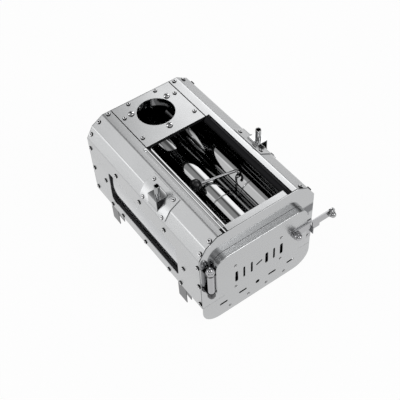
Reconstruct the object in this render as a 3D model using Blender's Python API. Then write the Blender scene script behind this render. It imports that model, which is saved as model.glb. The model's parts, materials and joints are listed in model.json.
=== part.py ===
"""Camping heating stove, in metres, +Z up, door towards -Y.

Every shape is written in the body frame: x = 0 on the stove's centre line, y = 0 half way along the
body and z = 0 at the lower edge of the side sheets. The empty called stove then puts the whole thing
on the ground with the middle of its bounding box at x = y = 0.
"""

import math

import bmesh
import bpy
from mathutils import Matrix, Vector

# Sheet and clearances
SHEET = 0.0012
GAP = 0.0003
RUNNING = 0.0003
SEAM = 0.0012
BITE = SHEET / 2
CUTTER_REACH = 0.0100

# Body section: the half section's corners, from the top flat to the side
HALF_WIDTH = 0.1100
TOP_Z = 0.1607
TOP_FLAT_X = 0.0752
SHOULDER_X = 0.0968
SHOULDER_Z = 0.1480
SIDE_TOP_Z = 0.1269
HALF_LENGTH = 0.1636
GROUND_Z = -0.0490
FLANGE_DEPTH = 0.0110
FLANGE_LOW_Z = 0.0140
FLOOR_RISE = 0.0110

# Top: flue plate, cooking opening and its rails
FLUE_PLATE_FRONT_Y = 0.0530
FLUE_PLATE_X = 0.0583
FLUE_LIP_X = 0.0510
FLUE_LIP_DROP = 0.0052
FLUE_Y = 0.1133
FLUE_RADIUS = 0.0327
FLUE_SCREW_CIRCLE = 0.0412
FLUE_SCREW_BORE = 0.0025
FLUE_SCREW_SHANK = 0.0020
FLUE_SCREW_LENGTH = 0.0100
FLUE_SCREW_HEAD = 0.0054
FLUE_SCREW_RISE = 0.0032
FLUE_SCREW_CURVE = ((1, 0), (1, 0.35), (0.82, 0.78), (0.45, 1), (0, 1))
CROSS_LENGTH = 0.0060
CROSS_WIDTH = 0.0014
CROSS_DEPTH = 0.0016
COLLAR_X = 0.0730
COLLAR_DROP = 0.0140
COLLAR_SET_BACK = 0.0060
NECK_CLEARANCE = 0.0004
FLUE_SCREW_ANGLES = {"front": -90, "right": 30, "left": 150}
OPENING_X = 0.0515
OPENING_FRONT_Y = -0.1507
FRONT_STRIP_X = 0.0560
FLANGE_EDGE_X = 0.0655
RAIL_LIP_X = (0.0612, 0.0592)
RAIL_SLOPE_X = 0.0540
RAIL_FLANGE_X = 0.0735
RAIL_DROP = 0.0034
RAIL_STOP = 0.0062

# Side windows
WINDOW_REAR_Y = 0.1050
WINDOW_FRONT_Y = -0.0980
WINDOW_LOW_Z = 0.0210
WINDOW_HIGH_Z = 0.0920
WINDOW_CORNER = 0.0080
GASKET_DEPTH = 0.0052
PANE_MARGIN_Y = 0.0060
PANE_MARGIN_Z = 0.0045
PANE_THICK = 0.0025
PANE_CROWN = 0.0036
FRAME_BORDER_Y = 0.0150
FRAME_TOP_Z = 0.1140
FRAME_OVERLAP = 0.0060
HIDDEN_CORNER = 0.0040
PANE_CLEARANCE = 0.0012
HAIR = 0.00001

# Floor, grate and ash drawer
FLOOR_HOLE_X = 0.0600
FLOOR_HOLE_Y = (-0.1200, 0.0900)
GRATE_X = 0.0760
GRATE_Y = 0.1460
GRATE_TOP_Z = 0.0060
GRATE_ROWS = 5
GRATE_COLUMNS = 7
GRATE_PITCH = (0.0180, 0.0520)
GRATE_SLOT = (0.0400, 0.0060)
APRON_TOP_Z = 0.0035
APRON_LOW_Z = -0.0465
APRON_CORNER = 0.0330
APRON_SLOT_Z = -0.0162
APRON_SLOT_X = (0.0304, 0.0694)
APRON_SLOT = (0.0160, 0.0046)
FINGER_HOLE_RADIUS = 0.0040
APRON_TOP_CORNER = 0.0012
TRAY_X = 0.0740
TRAY_REAR_Y = 0.1000
TRAY_LOW_Z = -0.0380
TRAY_TOP_Z = -0.0050
TRAY_LIP = 0.0060
TRAY_WINDOW_Z = (-0.0330, -0.0080)
TRAY_WINDOW_MARGIN = 0.0080
DRAWER_RAIL_FLANGE = 0.0055
DRAWER_RAIL_CLEARANCE = 0.0007
DRAWER_RAIL_FRONT = 0.0040

# Door, its hinge and its latch
DOOR_HALF_WIDTH = 0.0895
DOOR_LOW_Z = 0.0235
DOOR_HIGH_Z = 0.1215
DOOR_CORNER = 0.0220
DOOR_DEPTH = 0.0120
DOOR_HOLE_X = 0.0720
DOOR_HOLE_Z = (0.0400, 0.1060)
DOOR_HOLE_CORNER = 0.0140
HINGE_X = -0.0975
HINGE_Y = -0.1717
BARREL_RADIUS = 0.0056
BARREL_Z = (0.0510, 0.0950)
LEAF_HALF_THICK = 0.0010
PAD_HALF_WIDTH = 0.0042
LEAF_SET_BACK = 0.0030
LUG_THICK = 0.0030
LUG_RADIUS = 0.0066
PIN_RADIUS = 0.0030
NUT_CORNER_RADIUS = 0.0075
NUT_HEX = 0.0060
NUT_DOME = 0.0070
NUT_DOME_SHARE = 0.80
NUT_DOME_ANGLES = (0.35, 0.75, 1.15)
NUT_BORE_DEPTH = 0.0092
NUT_GRIP = 0.0085
BOLT_HEAD = 0.0052
BOLT_RISE = 0.0030
LATCH_X = 0.0640
LATCH_Z = 0.0740
LEVER_THICK = 0.0025
LEVER_HALF_HEIGHT = 0.0078
LEVER_END_X = 0.1370
LEVER_END_RADIUS = 0.0090
LEVER_END_BORE = 0.0028
KNOB_SHANK = 0.0025
KNOB_FOOT = (0.0046, 0.0020)
KNOB_COLLAR = (0.0066, 0.0035)
KNOB_DOME = (0.0054, 0.0101)
SLIT_TOP_MARGIN = 0.0030
TAB_X = (0.0986, 0.1140)
TAB_LOW_Z = 0.0595
SLIT_WIDTH = 0.0037
KEEPER_OUT_X = 0.1090
KEEPER_Z = (0.0220, 0.0660)
BLADE_LOW_Z = 0.0540
BLADE_REACH = 0.0040
BLADE_INTO_SLIT = 0.0006
VENT_X = -0.0072
VENT_PITCH = 0.0148
VENT_Z = 0.0565
VENT_HEIGHT = 0.0260
VENT_WIDTH = 0.0036
BROAD_VENT_WIDTH = 0.0058
BROAD_VENTS = (-3, 1, 3)
MIDDLE_VENT_TURN = 25
MIDDLE_VENT_SHARE = 0.5
BAFFLE_X = (-0.0600, 0.0440)
BAFFLE_Z = (0.0262, 0.0920)
BAFFLE_DEPTH = 0.0036
BAFFLE_CORNER = 0.0040
BAFFLE_SLOT = (0.0780, 0.0060)
BAFFLE_SLOT_DROP = 0.0085

# Brackets for the clip-on pegs
SADDLE_Y = (-0.0705, 0.0005)
BRACKET_Y = (-0.0490, -0.0250)
BRACKET_Z = 0.1545
BRACKET_OUT_X = 0.1065
PEG_X = 0.0975
PEG_Y = -0.0380
PEG_RADIUS = 0.0048
PEG_BORE = 0.0035
PEG_TOP_Z = 0.1770
PEG_EDGE = 0.0006
SADDLE_LOW_SHARE = 0.16
SADDLE_HIGH_SHARE = 0.10
FOOT_UP_SHARE = 0.28
FOOT_DOWN_SHARE = 0.30

# Folding legs
LEG_BRACKET_X = 0.1060
LEG_BRACKET_WIDTH = 0.0100
LEG_BRACKET_LENGTH = 0.0230
LEG_FRONT_Y = -0.0975
LEG_REAR_Y = 0.1140
LEG_PIVOT_Z = -0.0080
LEG_LENGTH = 0.0960
LEG_WIDTH = 0.0062
LEG_SHEET = 0.0012
LEG_END_RADIUS = 0.0045
LEG_OPEN_FROM = 0.0120
LEG_PIN_RADIUS = 0.0020
LEG_PIN_HEAD = 0.0034
LEG_PIN_RISE = 0.0010

# Stored flue sections and the lifting hook
FLUE_TUBE_RADIUS = 0.0310
FLUE_TUBE_WALL = 0.0012
FLUE_TUBE_PITCH = 0.0624
FLUE_TUBES = {"upper_left": (-1, 1), "upper_middle": (0, 1), "upper_right": (1, 1)}
FLUE_TUBES.update({"lower_left": (-0.5, 0), "lower_right": (0.5, 0)})
FLUE_TUBE_MIDDLE_X = -0.0045
FLUE_TUBE_Y = (-0.1545, 0.1480)
FLUE_TUBE_DRAW = 0.0012
FLUE_TUBE_NECK = (0.0300, 0.0260)
ROD_RADIUS = 0.0025
BALL_RADIUS = 0.0100
BALL_AT = (-0.0264, -0.0361, 0.1270)
HOOK_AT = (0.0412, -0.0486, 0.1252)
HOOK_RADIUS = 0.0062
HOOK_TURN = 210
HOOK_STEPS = 10
ROD_CLEARANCE = 0.0002
BORE_IN_BALL = 0.50
ROD_IN_BALL = 0.55

# The whole object reaches from the left sheet to the lever's end and from the latch nut to the back
LEVER_FACE_Y = -HALF_LENGTH - DOOR_DEPTH - GAP - LEVER_THICK
FRONT_REACH_Y = LEVER_FACE_Y - GAP - NUT_HEX - NUT_DOME
CENTRE_X = (LEVER_END_X + LEVER_END_RADIUS - HALF_WIDTH) / 2
CENTRE_Y = (HALF_LENGTH + FRONT_REACH_Y) / 2

FRONT_FACE = ((1, 0, 0), (0, 0, 1))
TOP_FACE = ((1, 0, 0), (0, 1, 0))
LEFT_FACE = ((0, -1, 0), (0, 0, 1))
RIGHT_FACE = ((0, 1, 0), (0, 0, 1))

MATERIALS = {
    "brushed_steel": ((0.60, 0.61, 0.62), 0.34, 1.0),
    "polished_steel": ((0.78, 0.79, 0.80), 0.10, 1.0),
    "dark_steel": ((0.16, 0.16, 0.17), 0.50, 0.9),
    "window_glass": ((0.66, 0.67, 0.69), 0.12, 0.6),
    "gasket_black": ((0.015, 0.015, 0.016), 0.90, 0.0),
    "ball_black": ((0.012, 0.012, 0.013), 0.18, 0.0),
}


def clear_scene():
    for obj in list(bpy.data.objects):
        bpy.data.objects.remove(obj, do_unlink=True)


def material(name):
    found = bpy.data.materials.get(name)
    if found:
        return found
    colour, roughness, metallic = MATERIALS[name]
    made = bpy.data.materials.new(name)
    made.use_nodes = True
    shader = made.node_tree.nodes["Principled BSDF"]
    shader.inputs["Base Color"].default_value = (*colour, 1)
    shader.inputs["Roughness"].default_value = roughness
    shader.inputs["Metallic"].default_value = metallic
    return made


# Outlines, as lists of (u, v) points


def arc(centre, radius, start, end, steps):
    """Points from angle start to angle end, in degrees, both ends included."""
    angles = [math.radians(start + (end - start) * i / steps) for i in range(steps + 1)]
    return [(centre[0] + radius * math.cos(a), centre[1] + radius * math.sin(a)) for a in angles]


def circle(centre, radius, sides):
    return arc(centre, radius, 0, 360, sides)[:-1]


def rectangle(low, high):
    return [low, (high[0], low[1]), high, (low[0], high[1])]


def rounded_rectangle(low, high, radius, steps=4, low_radius=None):
    """A rectangle with round corners; low_radius rounds the two lower ones when they differ."""
    lower = radius if low_radius is None else low_radius
    points = arc((high[0] - radius, high[1] - radius), radius, 0, 90, steps)
    points += arc((low[0] + radius, high[1] - radius), radius, 90, 180, steps)
    points += arc((low[0] + lower, low[1] + lower), lower, 180, 270, steps)
    points += arc((high[0] - lower, low[1] + lower), lower, 270, 360, steps)
    return points


def slot(centre, length, width, turn=0, steps=4):
    """A slot with round ends, length end to end, turned from the u axis by turn degrees."""
    reach = (length - width) / 2
    points = arc((reach, 0), width / 2, -90, 90, steps) + arc((-reach, 0), width / 2, 90, 270, steps)
    c, s = math.cos(math.radians(turn)), math.sin(math.radians(turn))
    return [(centre[0] + c * u - s * v, centre[1] + s * u + c * v) for u, v in points]


def offset_path(points, distance):
    """The open path moved sideways to its left by distance, its corners mitred."""
    moved = []
    for i, point in enumerate(points):
        here = Vector(point)
        before = (here - Vector(points[i - 1])).normalized() if i else None
        after = (Vector(points[i + 1]) - here).normalized() if i < len(points) - 1 else None
        before, after = before or after, after or before
        left = Vector((-before.y - after.y, before.x + after.x)).normalized()
        stretch = left.dot(Vector((-before.y, before.x)))
        moved.append(tuple(here + left * (distance / stretch)))
    return moved


def folded(points, thickness=SHEET):
    """The closed outline of a sheet bent along points, which are its right-hand side."""
    return list(points) + offset_path(points, thickness)[::-1]


def mirrored(loops):
    return [[(-u, v) for u, v in loop][::-1] for loop in loops]


# Solids


def finish(name, mesh, colour, smooth=30):
    obj = bpy.data.objects.new(name, mesh)
    bpy.context.scene.collection.objects.link(obj)
    mesh.materials.clear()
    mesh.materials.append(material(colour))
    mesh.shade_smooth()
    mesh.set_sharp_from_angle(angle=math.radians(smooth))
    return obj


def prism(name, loops, face, start, depth, colour):
    """The area inside the first loop and outside the others, from start, depth deep against its normal.

    face is the pair of world directions of u and v, and start is the outer face's place along
    their cross product.
    """
    curve = bpy.data.curves.new(name, "CURVE")
    curve.dimensions = "2D"
    curve.fill_mode = "BOTH"
    curve.extrude = depth / 2
    for loop in loops:
        spline = curve.splines.new("POLY")
        spline.points.add(len(loop) - 1)
        for point, (u, v) in zip(spline.points, loop):
            point.co = (u, v, 0, 1)
        spline.use_cyclic_u = True
    guide = bpy.data.objects.new(name, curve)
    bpy.context.scene.collection.objects.link(guide)
    graph = bpy.context.evaluated_depsgraph_get()
    mesh = bpy.data.meshes.new_from_object(guide.evaluated_get(graph))
    bpy.data.objects.remove(guide, do_unlink=True)
    u_axis, v_axis = Vector(face[0]), Vector(face[1])
    normal = u_axis.cross(v_axis)
    turn = Matrix((u_axis, v_axis, normal)).transposed().to_4x4()
    mesh.transform(Matrix.Translation(normal * (start - depth / 2)) @ turn)
    weld(mesh)
    return finish(name, mesh, colour)


def weld(mesh):
    shape = bmesh.new()
    shape.from_mesh(mesh)
    bmesh.ops.remove_doubles(shape, verts=shape.verts, dist=1e-6)
    bmesh.ops.recalc_face_normals(shape, faces=shape.faces)
    shape.to_mesh(mesh)
    shape.free()


def box(name, low, high, colour="brushed_steel"):
    loop = rectangle((low[0], low[1]), (high[0], high[1]))
    return prism(name, [loop], TOP_FACE, high[2], high[2] - low[2], colour)


def turned(name, profile, place, axis, colour, sides=16):
    """Turns (radius, height) points round axis through place. Its ends lie on the axis, or it is a ring."""
    shape = bmesh.new()
    verts = [shape.verts.new((radius, 0, height)) for radius, height in profile]
    edges = [shape.edges.new(pair) for pair in zip(verts, verts[1:])]
    if profile[0][0] > 0:
        edges.append(shape.edges.new((verts[-1], verts[0])))
    around = {"cent": (0, 0, 0), "axis": (0, 0, 1), "angle": 2 * math.pi}
    bmesh.ops.spin(shape, geom=verts + edges, steps=sides, use_merge=True, **around)
    bmesh.ops.remove_doubles(shape, verts=shape.verts, dist=1e-6)
    bmesh.ops.recalc_face_normals(shape, faces=shape.faces)
    turn = Vector((0, 0, 1)).rotation_difference(Vector(axis)).to_matrix().to_4x4()
    bmesh.ops.transform(shape, verts=shape.verts, matrix=Matrix.Translation(place) @ turn)
    mesh = bpy.data.meshes.new(name)
    shape.to_mesh(mesh)
    shape.free()
    return finish(name, mesh, colour)


def combine(target, tool, operation):
    """Cuts target with tool, or joins the two or keeps what they share, and removes tool."""
    modifier = target.modifiers.new("combine", "BOOLEAN")
    modifier.operation = operation
    modifier.object = tool
    graph = bpy.context.evaluated_depsgraph_get()
    mesh = bpy.data.meshes.new_from_object(target.evaluated_get(graph))
    target.modifiers.clear()
    target.data = mesh
    bpy.data.objects.remove(tool, do_unlink=True)
    return target


def cut(target, *tools):
    for tool in tools:
        combine(target, tool, "DIFFERENCE")
    return target


def join(target, *tools):
    for tool in tools:
        combine(target, tool, "UNION")
    return target


def rod_between(name, start, end, radius, colour="brushed_steel", sides=12):
    start, end = Vector(start), Vector(end)
    length = (end - start).length
    profile = [(0, 0), (radius, 0), (radius, length), (0, length)]
    return turned(name, profile, start, end - start, colour, sides)


def with_origin(obj, place):
    """Moves the object's origin to place, leaving its shape where it is."""
    obj.data.transform(Matrix.Translation(-Vector(place)))
    obj.location = place
    return obj


# Body sheets


def half_section(side, inset=0.0, low_z=0.0, inner_x=0.0):
    """The half section from its lower edge to inner_x on the top flat, as a path, inset from the outside."""
    outer = [
        (HALF_WIDTH, low_z),
        (HALF_WIDTH, SIDE_TOP_Z),
        (SHOULDER_X, SHOULDER_Z),
        (TOP_FLAT_X, TOP_Z),
        (inner_x, TOP_Z),
    ]
    path = offset_path(outer, inset) if inset else outer
    return [(side * u, v) for u, v in path]


def shell(name, side):
    """One bent sheet: side, two shoulders and the top flange, with the window cut out."""
    path = half_section(side, inner_x=FLUE_PLATE_X + SEAM)
    outline = folded(path if side > 0 else path[::-1])
    front, rear = HALF_LENGTH - SHEET - SEAM, HALF_LENGTH - SHEET - GAP
    sheet = prism(name, [outline], FRONT_FACE, front, front + rear, "brushed_steel")
    xs = sorted((side * (FLUE_PLATE_X - CUTTER_REACH), side * FLANGE_EDGE_X))
    low = (xs[0], -HALF_LENGTH, TOP_Z - CUTTER_REACH)
    high = (xs[1], FLUE_PLATE_FRONT_Y, TOP_Z + CUTTER_REACH)
    cut(sheet, box("cutter", low, high))
    window = window_loop(side, 0, 0, WINDOW_CORNER)
    start = HALF_WIDTH + CUTTER_REACH
    cut(sheet, prism("cutter", [window], side_face(side), start, 2 * CUTTER_REACH, "brushed_steel"))
    return sheet


def side_face(side):
    return RIGHT_FACE if side > 0 else LEFT_FACE


def window_loop(side, margin_y, margin_z, radius):
    """The window's outline on its side, grown by the margins. u is y on the right and -y on the left."""
    low = (WINDOW_FRONT_Y - margin_y, WINDOW_LOW_Z - margin_z)
    high = (WINDOW_REAR_Y + margin_y, WINDOW_HIGH_Z + margin_z)
    loop = rounded_rectangle(low, high, radius, steps=3)
    return loop if side > 0 else mirrored([loop])[0]


def end_plate(name, side_y, low_z, hole=None):
    """A flat end from low_z up, with a flange that goes inside the shells and over the top."""
    half = half_section(1, low_z=low_z)
    outline = half[:-1] + [(-u, v) for u, v in half[:-1]][::-1]
    loops = [outline] + ([hole] if hole else [])
    near_y = -HALF_LENGTH if side_y < 0 else HALF_LENGTH - SHEET
    plate = prism(name, loops, FRONT_FACE, -near_y, SHEET, "brushed_steel")
    right = half_section(1, SHEET + GAP, FLANGE_LOW_Z)[:-1]
    path = right + [(-u, v) for u, v in right][::-1]
    flange_y = -HALF_LENGTH + BITE if side_y < 0 else HALF_LENGTH - FLANGE_DEPTH - SHEET
    flange = prism("flange", [folded(path)], FRONT_FACE, -flange_y, FLANGE_DEPTH + BITE, "brushed_steel")
    return join(plate, flange)


def front_plate():
    low, high = (-DOOR_HOLE_X, DOOR_HOLE_Z[0]), (DOOR_HOLE_X, DOOR_HOLE_Z[1])
    hole = rounded_rectangle(low, high, DOOR_HOLE_CORNER)
    return end_plate("front_plate", -1, APRON_TOP_Z + GAP, hole)


def back_plate():
    return end_plate("back_plate", 1, 0.0)


def floor_plate():
    """A flat floor with turned-up sides and the hole that ash falls through."""
    inside = HALF_WIDTH - SHEET - GAP
    path = [(-inside, FLOOR_RISE), (-inside, 0), (inside, 0), (inside, FLOOR_RISE)]
    half = HALF_LENGTH - SHEET - GAP
    floor = prism("floor_plate", [folded(path)], FRONT_FACE, half, 2 * half, "dark_steel")
    low = (-FLOOR_HOLE_X, FLOOR_HOLE_Y[0], -CUTTER_REACH)
    high = (FLOOR_HOLE_X, FLOOR_HOLE_Y[1], CUTTER_REACH)
    return cut(floor, box("cutter", low, high))


def flue_plate():
    """The top behind the cooking opening, with the flue's hole and a lip turned down at the front."""
    outline = rectangle((-FLUE_PLATE_X, FLUE_PLATE_FRONT_Y), (FLUE_PLATE_X, HALF_LENGTH - SHEET - GAP))
    plate = prism("flue_plate", [outline] + flue_holes(), TOP_FACE, TOP_Z, SHEET, "brushed_steel")
    low = (-FLUE_LIP_X, FLUE_PLATE_FRONT_Y, TOP_Z - FLUE_LIP_DROP)
    high = (FLUE_LIP_X, FLUE_PLATE_FRONT_Y + SHEET, TOP_Z - BITE)
    return join(plate, box("lip", low, high))


def flue_holes():
    screws = [circle(place, FLUE_SCREW_BORE, 12) for place in flue_screw_places().values()]
    return [circle((0, FLUE_Y), FLUE_RADIUS, 40)] + screws


def flue_screw_places():
    places = {}
    for name, angle in FLUE_SCREW_ANGLES.items():
        turn = math.radians(angle)
        places[name] = (FLUE_SCREW_CIRCLE * math.cos(turn), FLUE_Y + FLUE_SCREW_CIRCLE * math.sin(turn))
    return places


def flue_screw(name, place):
    """A pan-head screw with a cross recess, which hangs through the flue plate."""
    head, rise, shank, length = FLUE_SCREW_HEAD, FLUE_SCREW_RISE, FLUE_SCREW_SHANK, FLUE_SCREW_LENGTH
    profile = [(0, -length), (shank, -length), (shank, GAP)]
    profile += [(head * across, GAP + rise * up) for across, up in FLUE_SCREW_CURVE]
    screw = turned(name, profile, (place[0], place[1], TOP_Z), (0, 0, 1), "polished_steel", 20)
    recess_z = TOP_Z + GAP + rise - CROSS_DEPTH
    for size_x, size_y in ((CROSS_LENGTH, CROSS_WIDTH), (CROSS_WIDTH, CROSS_LENGTH)):
        low = (place[0] - size_x / 2, place[1] - size_y / 2, recess_z)
        high = (place[0] + size_x / 2, place[1] + size_y / 2, TOP_Z + CUTTER_REACH)
        cut(screw, box("cutter", low, high))
    return screw


def front_top_strip():
    front = -HALF_LENGTH + SHEET + GAP
    outline = rectangle((-FRONT_STRIP_X, front), (FRONT_STRIP_X, OPENING_FRONT_Y))
    return prism("front_top_strip", [outline], TOP_FACE, TOP_Z, SHEET, "brushed_steel")


def flue_collar():
    """The plate under the flue plate, whose neck steadies the flue. It also ties the two shells together."""
    top = TOP_Z - SHEET - GAP
    front, rear = FLUE_PLATE_FRONT_Y + COLLAR_SET_BACK, HALF_LENGTH - FLANGE_DEPTH - 2 * SHEET - GAP
    outline = rectangle((-COLLAR_X, front), (COLLAR_X, rear))
    plate = prism("flue_collar", [outline] + flue_holes(), TOP_FACE, top, SHEET, "dark_steel")
    inner = FLUE_RADIUS + NECK_CLEARANCE
    walls = [circle((0, FLUE_Y), inner + SHEET, 40), circle((0, FLUE_Y), inner, 40)]
    return join(plate, prism("neck", walls, TOP_FACE, top - BITE, COLLAR_DROP, "dark_steel"))


def plate_rail(name, side):
    """One folded strip: a flange under the shell, a lip, a slope and the ledge for a cooking plate."""
    ledge_z, flange_z = TOP_Z - RAIL_DROP, TOP_Z - SHEET - GAP
    outer, inner = RAIL_LIP_X
    path = [(RAIL_FLANGE_X, flange_z), (outer, flange_z), (outer, TOP_Z), (inner, TOP_Z)]
    path += [(RAIL_SLOPE_X, ledge_z), (OPENING_X, ledge_z)]
    foot = inner + (RAIL_SLOPE_X - inner) * SHEET / RAIL_DROP
    nose = [(foot, TOP_Z - SHEET), (inner, TOP_Z), (outer, TOP_Z), (outer, TOP_Z - SHEET)]
    outlines = [folded(path), nose]
    if side < 0:
        outlines = mirrored(outlines)
    front, rear = -HALF_LENGTH + FLANGE_DEPTH + SHEET + GAP, FLUE_PLATE_FRONT_Y - GAP
    rail = prism(name, outlines[:1], FRONT_FACE, -front, rear - front, "brushed_steel")
    tip = -HALF_LENGTH + SHEET + GAP
    tongue = prism("nose", outlines[1:], FRONT_FACE, -tip, front + BITE - tip, "brushed_steel")
    xs = sorted((side * (outer - BITE), side * (FLANGE_EDGE_X - GAP)))
    stop = box("stop", (xs[0], rear - RAIL_STOP, flange_z - BITE), (xs[1], rear, TOP_Z))
    return join(rail, tongue, stop)


# Side windows


def window_gasket(name, side):
    outer = window_loop(side, PANE_MARGIN_Y, PANE_MARGIN_Z, HIDDEN_CORNER)
    inner = window_loop(side, 0, 0, WINDOW_CORNER)
    start = HALF_WIDTH - SHEET - GAP
    return prism(name, [outer, inner], side_face(side), start, GASKET_DEPTH, "gasket_black")


def window_pane(name, side):
    """A pane with flat edges behind the gasket and a shallow crown in the opening."""
    start = HALF_WIDTH - SHEET - 2 * GAP - GASKET_DEPTH
    edge = window_loop(side, PANE_MARGIN_Y, PANE_MARGIN_Z, HIDDEN_CORNER)
    pane = prism(name, [edge], side_face(side), start, PANE_THICK, "window_glass")
    half = (WINDOW_HIGH_Z - WINDOW_LOW_Z) / 2 - PANE_CLEARANCE
    middle = (WINDOW_HIGH_Z + WINDOW_LOW_Z) / 2
    radius = (half**2 + PANE_CROWN**2) / (2 * PANE_CROWN)
    spread = math.degrees(math.asin(half / radius))
    crown = arc((start + PANE_CROWN - radius, middle), radius, -spread, spread, 10)
    back = start - PANE_THICK / 2
    outline = [(back, crown[0][1])] + crown + [(back, crown[-1][1])]
    front, rear = WINDOW_FRONT_Y + PANE_CLEARANCE, WINDOW_REAR_Y - PANE_CLEARANCE
    if side < 0:
        outline = mirrored([outline])[0]
    lens = prism("lens", [outline], FRONT_FACE, -front, rear - front, "window_glass")
    opening = window_loop(side, -PANE_CLEARANCE, -PANE_CLEARANCE, WINDOW_CORNER)
    mask = prism("mask", [opening], side_face(side), HALF_WIDTH, 2 * CUTTER_REACH, "window_glass")
    combine(lens, mask, "INTERSECT")
    return join(pane, lens)


def window_frame(name, side):
    """The pressed frame that rivets hold behind the gasket and the pane."""
    face = side_face(side)
    outside = HALF_WIDTH - SHEET - GAP
    behind = outside - 3 * GAP - GASKET_DEPTH - PANE_THICK
    room_y, room_z = PANE_MARGIN_Y + GAP, PANE_MARGIN_Z + GAP
    wall_y, wall_z = room_y + SHEET, room_z + SHEET
    border = [
        (WINDOW_FRONT_Y - FRAME_BORDER_Y - wall_y, WINDOW_LOW_Z - wall_z),
        (WINDOW_REAR_Y + FRAME_BORDER_Y + wall_y, FRAME_TOP_Z),
    ]
    border_loop = rounded_rectangle(border[0], border[1], HIDDEN_CORNER, steps=2)
    border_loop = border_loop if side > 0 else mirrored([border_loop])[0]
    room = window_loop(side, room_y, room_z, HIDDEN_CORNER)
    frame = prism(name, [border_loop, room], face, outside, SHEET, "dark_steel")
    outer_corner = HIDDEN_CORNER + SHEET
    wall = window_loop(side, wall_y - HAIR, wall_z - HAIR, outer_corner)
    tall = prism("wall", [wall, room], face, outside - BITE, outside - BITE - behind + SHEET, "dark_steel")
    hole = window_loop(side, -FRAME_OVERLAP, -FRAME_OVERLAP, HIDDEN_CORNER)
    back = window_loop(side, wall_y - 2 * HAIR, wall_z - 2 * HAIR, outer_corner)
    rear = prism("rear", [back, hole], face, behind, SHEET, "dark_steel")
    return join(frame, tall, rear)


# Brackets with sockets on the shoulders


def shoulder_line(inset=0.0):
    return offset_path([(HALF_WIDTH, SIDE_TOP_Z), (SHOULDER_X, SHOULDER_Z), (TOP_FLAT_X, TOP_Z)], inset)


def saddle_plate(name, side):
    """A patch over both shoulders, which spreads the bracket's load."""
    low, ridge, high = [Vector(p) for p in shoulder_line(-GAP - SHEET)]
    low, high = low.lerp(ridge, SADDLE_LOW_SHARE), high.lerp(ridge, SADDLE_HIGH_SHARE)
    outline = folded([tuple(low), tuple(ridge), tuple(high)])
    if side < 0:
        outline = mirrored([outline])[0]
    return prism(name, [outline], FRONT_FACE, -SADDLE_Y[0], SADDLE_Y[1] - SADDLE_Y[0], "brushed_steel")


def saddle_surface():
    return shoulder_line(-2 * GAP - SHEET)


def peg_bracket(name, side):
    """A level shelf and an upright flange, with feet that lie on the saddle."""
    low, ridge, high = [Vector(p) for p in saddle_surface()]
    on_upper = (ridge.y - BRACKET_Z) / (ridge.y - high.y)
    inner = ridge.lerp(high, on_upper)
    on_lower = (ridge.x - BRACKET_OUT_X) / (ridge.x - low.x)
    outer = ridge.lerp(low, on_lower)
    foot_up = inner.lerp(high, FOOT_UP_SHARE)
    foot_down = outer.lerp(low, FOOT_DOWN_SHARE)
    path = [tuple(foot_down), tuple(outer), (BRACKET_OUT_X, BRACKET_Z), tuple(inner), tuple(foot_up)]
    outline = path + offset_path(path, -SHEET)[::-1]
    if side < 0:
        outline = mirrored([outline])[0]
    return prism(name, [outline], FRONT_FACE, -BRACKET_Y[0], BRACKET_Y[1] - BRACKET_Y[0], "brushed_steel")


def peg_tube(name, side):
    low, high = BRACKET_Z + SHEET + GAP, PEG_TOP_Z
    profile = [(PEG_BORE, low), (PEG_RADIUS, low), (PEG_RADIUS, high - PEG_EDGE)]
    profile += [(PEG_RADIUS - PEG_EDGE, high), (PEG_BORE, high)]
    return turned(name, profile, (side * PEG_X, PEG_Y, 0), (0, 0, 1), "polished_steel", 20)


# Grate, drawer and drawer rails


def fire_grate():
    """A slotted tray, turned down at both sides, that stands on the floor."""
    top = GRATE_TOP_Z
    path = [(-GRATE_X, SHEET + GAP), (-GRATE_X, top), (GRATE_X, top), (GRATE_X, SHEET + GAP)]
    outline = path + offset_path(path, -SHEET)[::-1]
    grate = prism("fire_grate", [outline], FRONT_FACE, GRATE_Y, 2 * GRATE_Y, "dark_steel")
    for row in range(GRATE_ROWS):
        for column in range(GRATE_COLUMNS):
            x = (column - (GRATE_COLUMNS - 1) / 2) * GRATE_PITCH[0]
            y = (row - (GRATE_ROWS - 1) / 2) * GRATE_PITCH[1]
            loop = slot((x, y), *GRATE_SLOT, turn=90, steps=3)
            cut(grate, prism("cutter", [loop], TOP_FACE, CUTTER_REACH, 2 * CUTTER_REACH, "dark_steel"))
    return grate


def drawer_front():
    """The skirt under the door: the ash drawer's front, with its air slots and finger hole."""
    low, high = (-HALF_WIDTH, APRON_LOW_Z), (HALF_WIDTH, APRON_TOP_Z)
    outline = rounded_rectangle(low, high, APRON_TOP_CORNER, 8, APRON_CORNER)
    holes = [circle((0, APRON_SLOT_Z), FINGER_HOLE_RADIUS, 16)]
    for x in APRON_SLOT_X:
        holes += [slot((side * x, APRON_SLOT_Z), *APRON_SLOT) for side in (-1, 1)]
    return prism("drawer_front", [outline] + holes, FRONT_FACE, HALF_LENGTH, SHEET, "brushed_steel")


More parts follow.
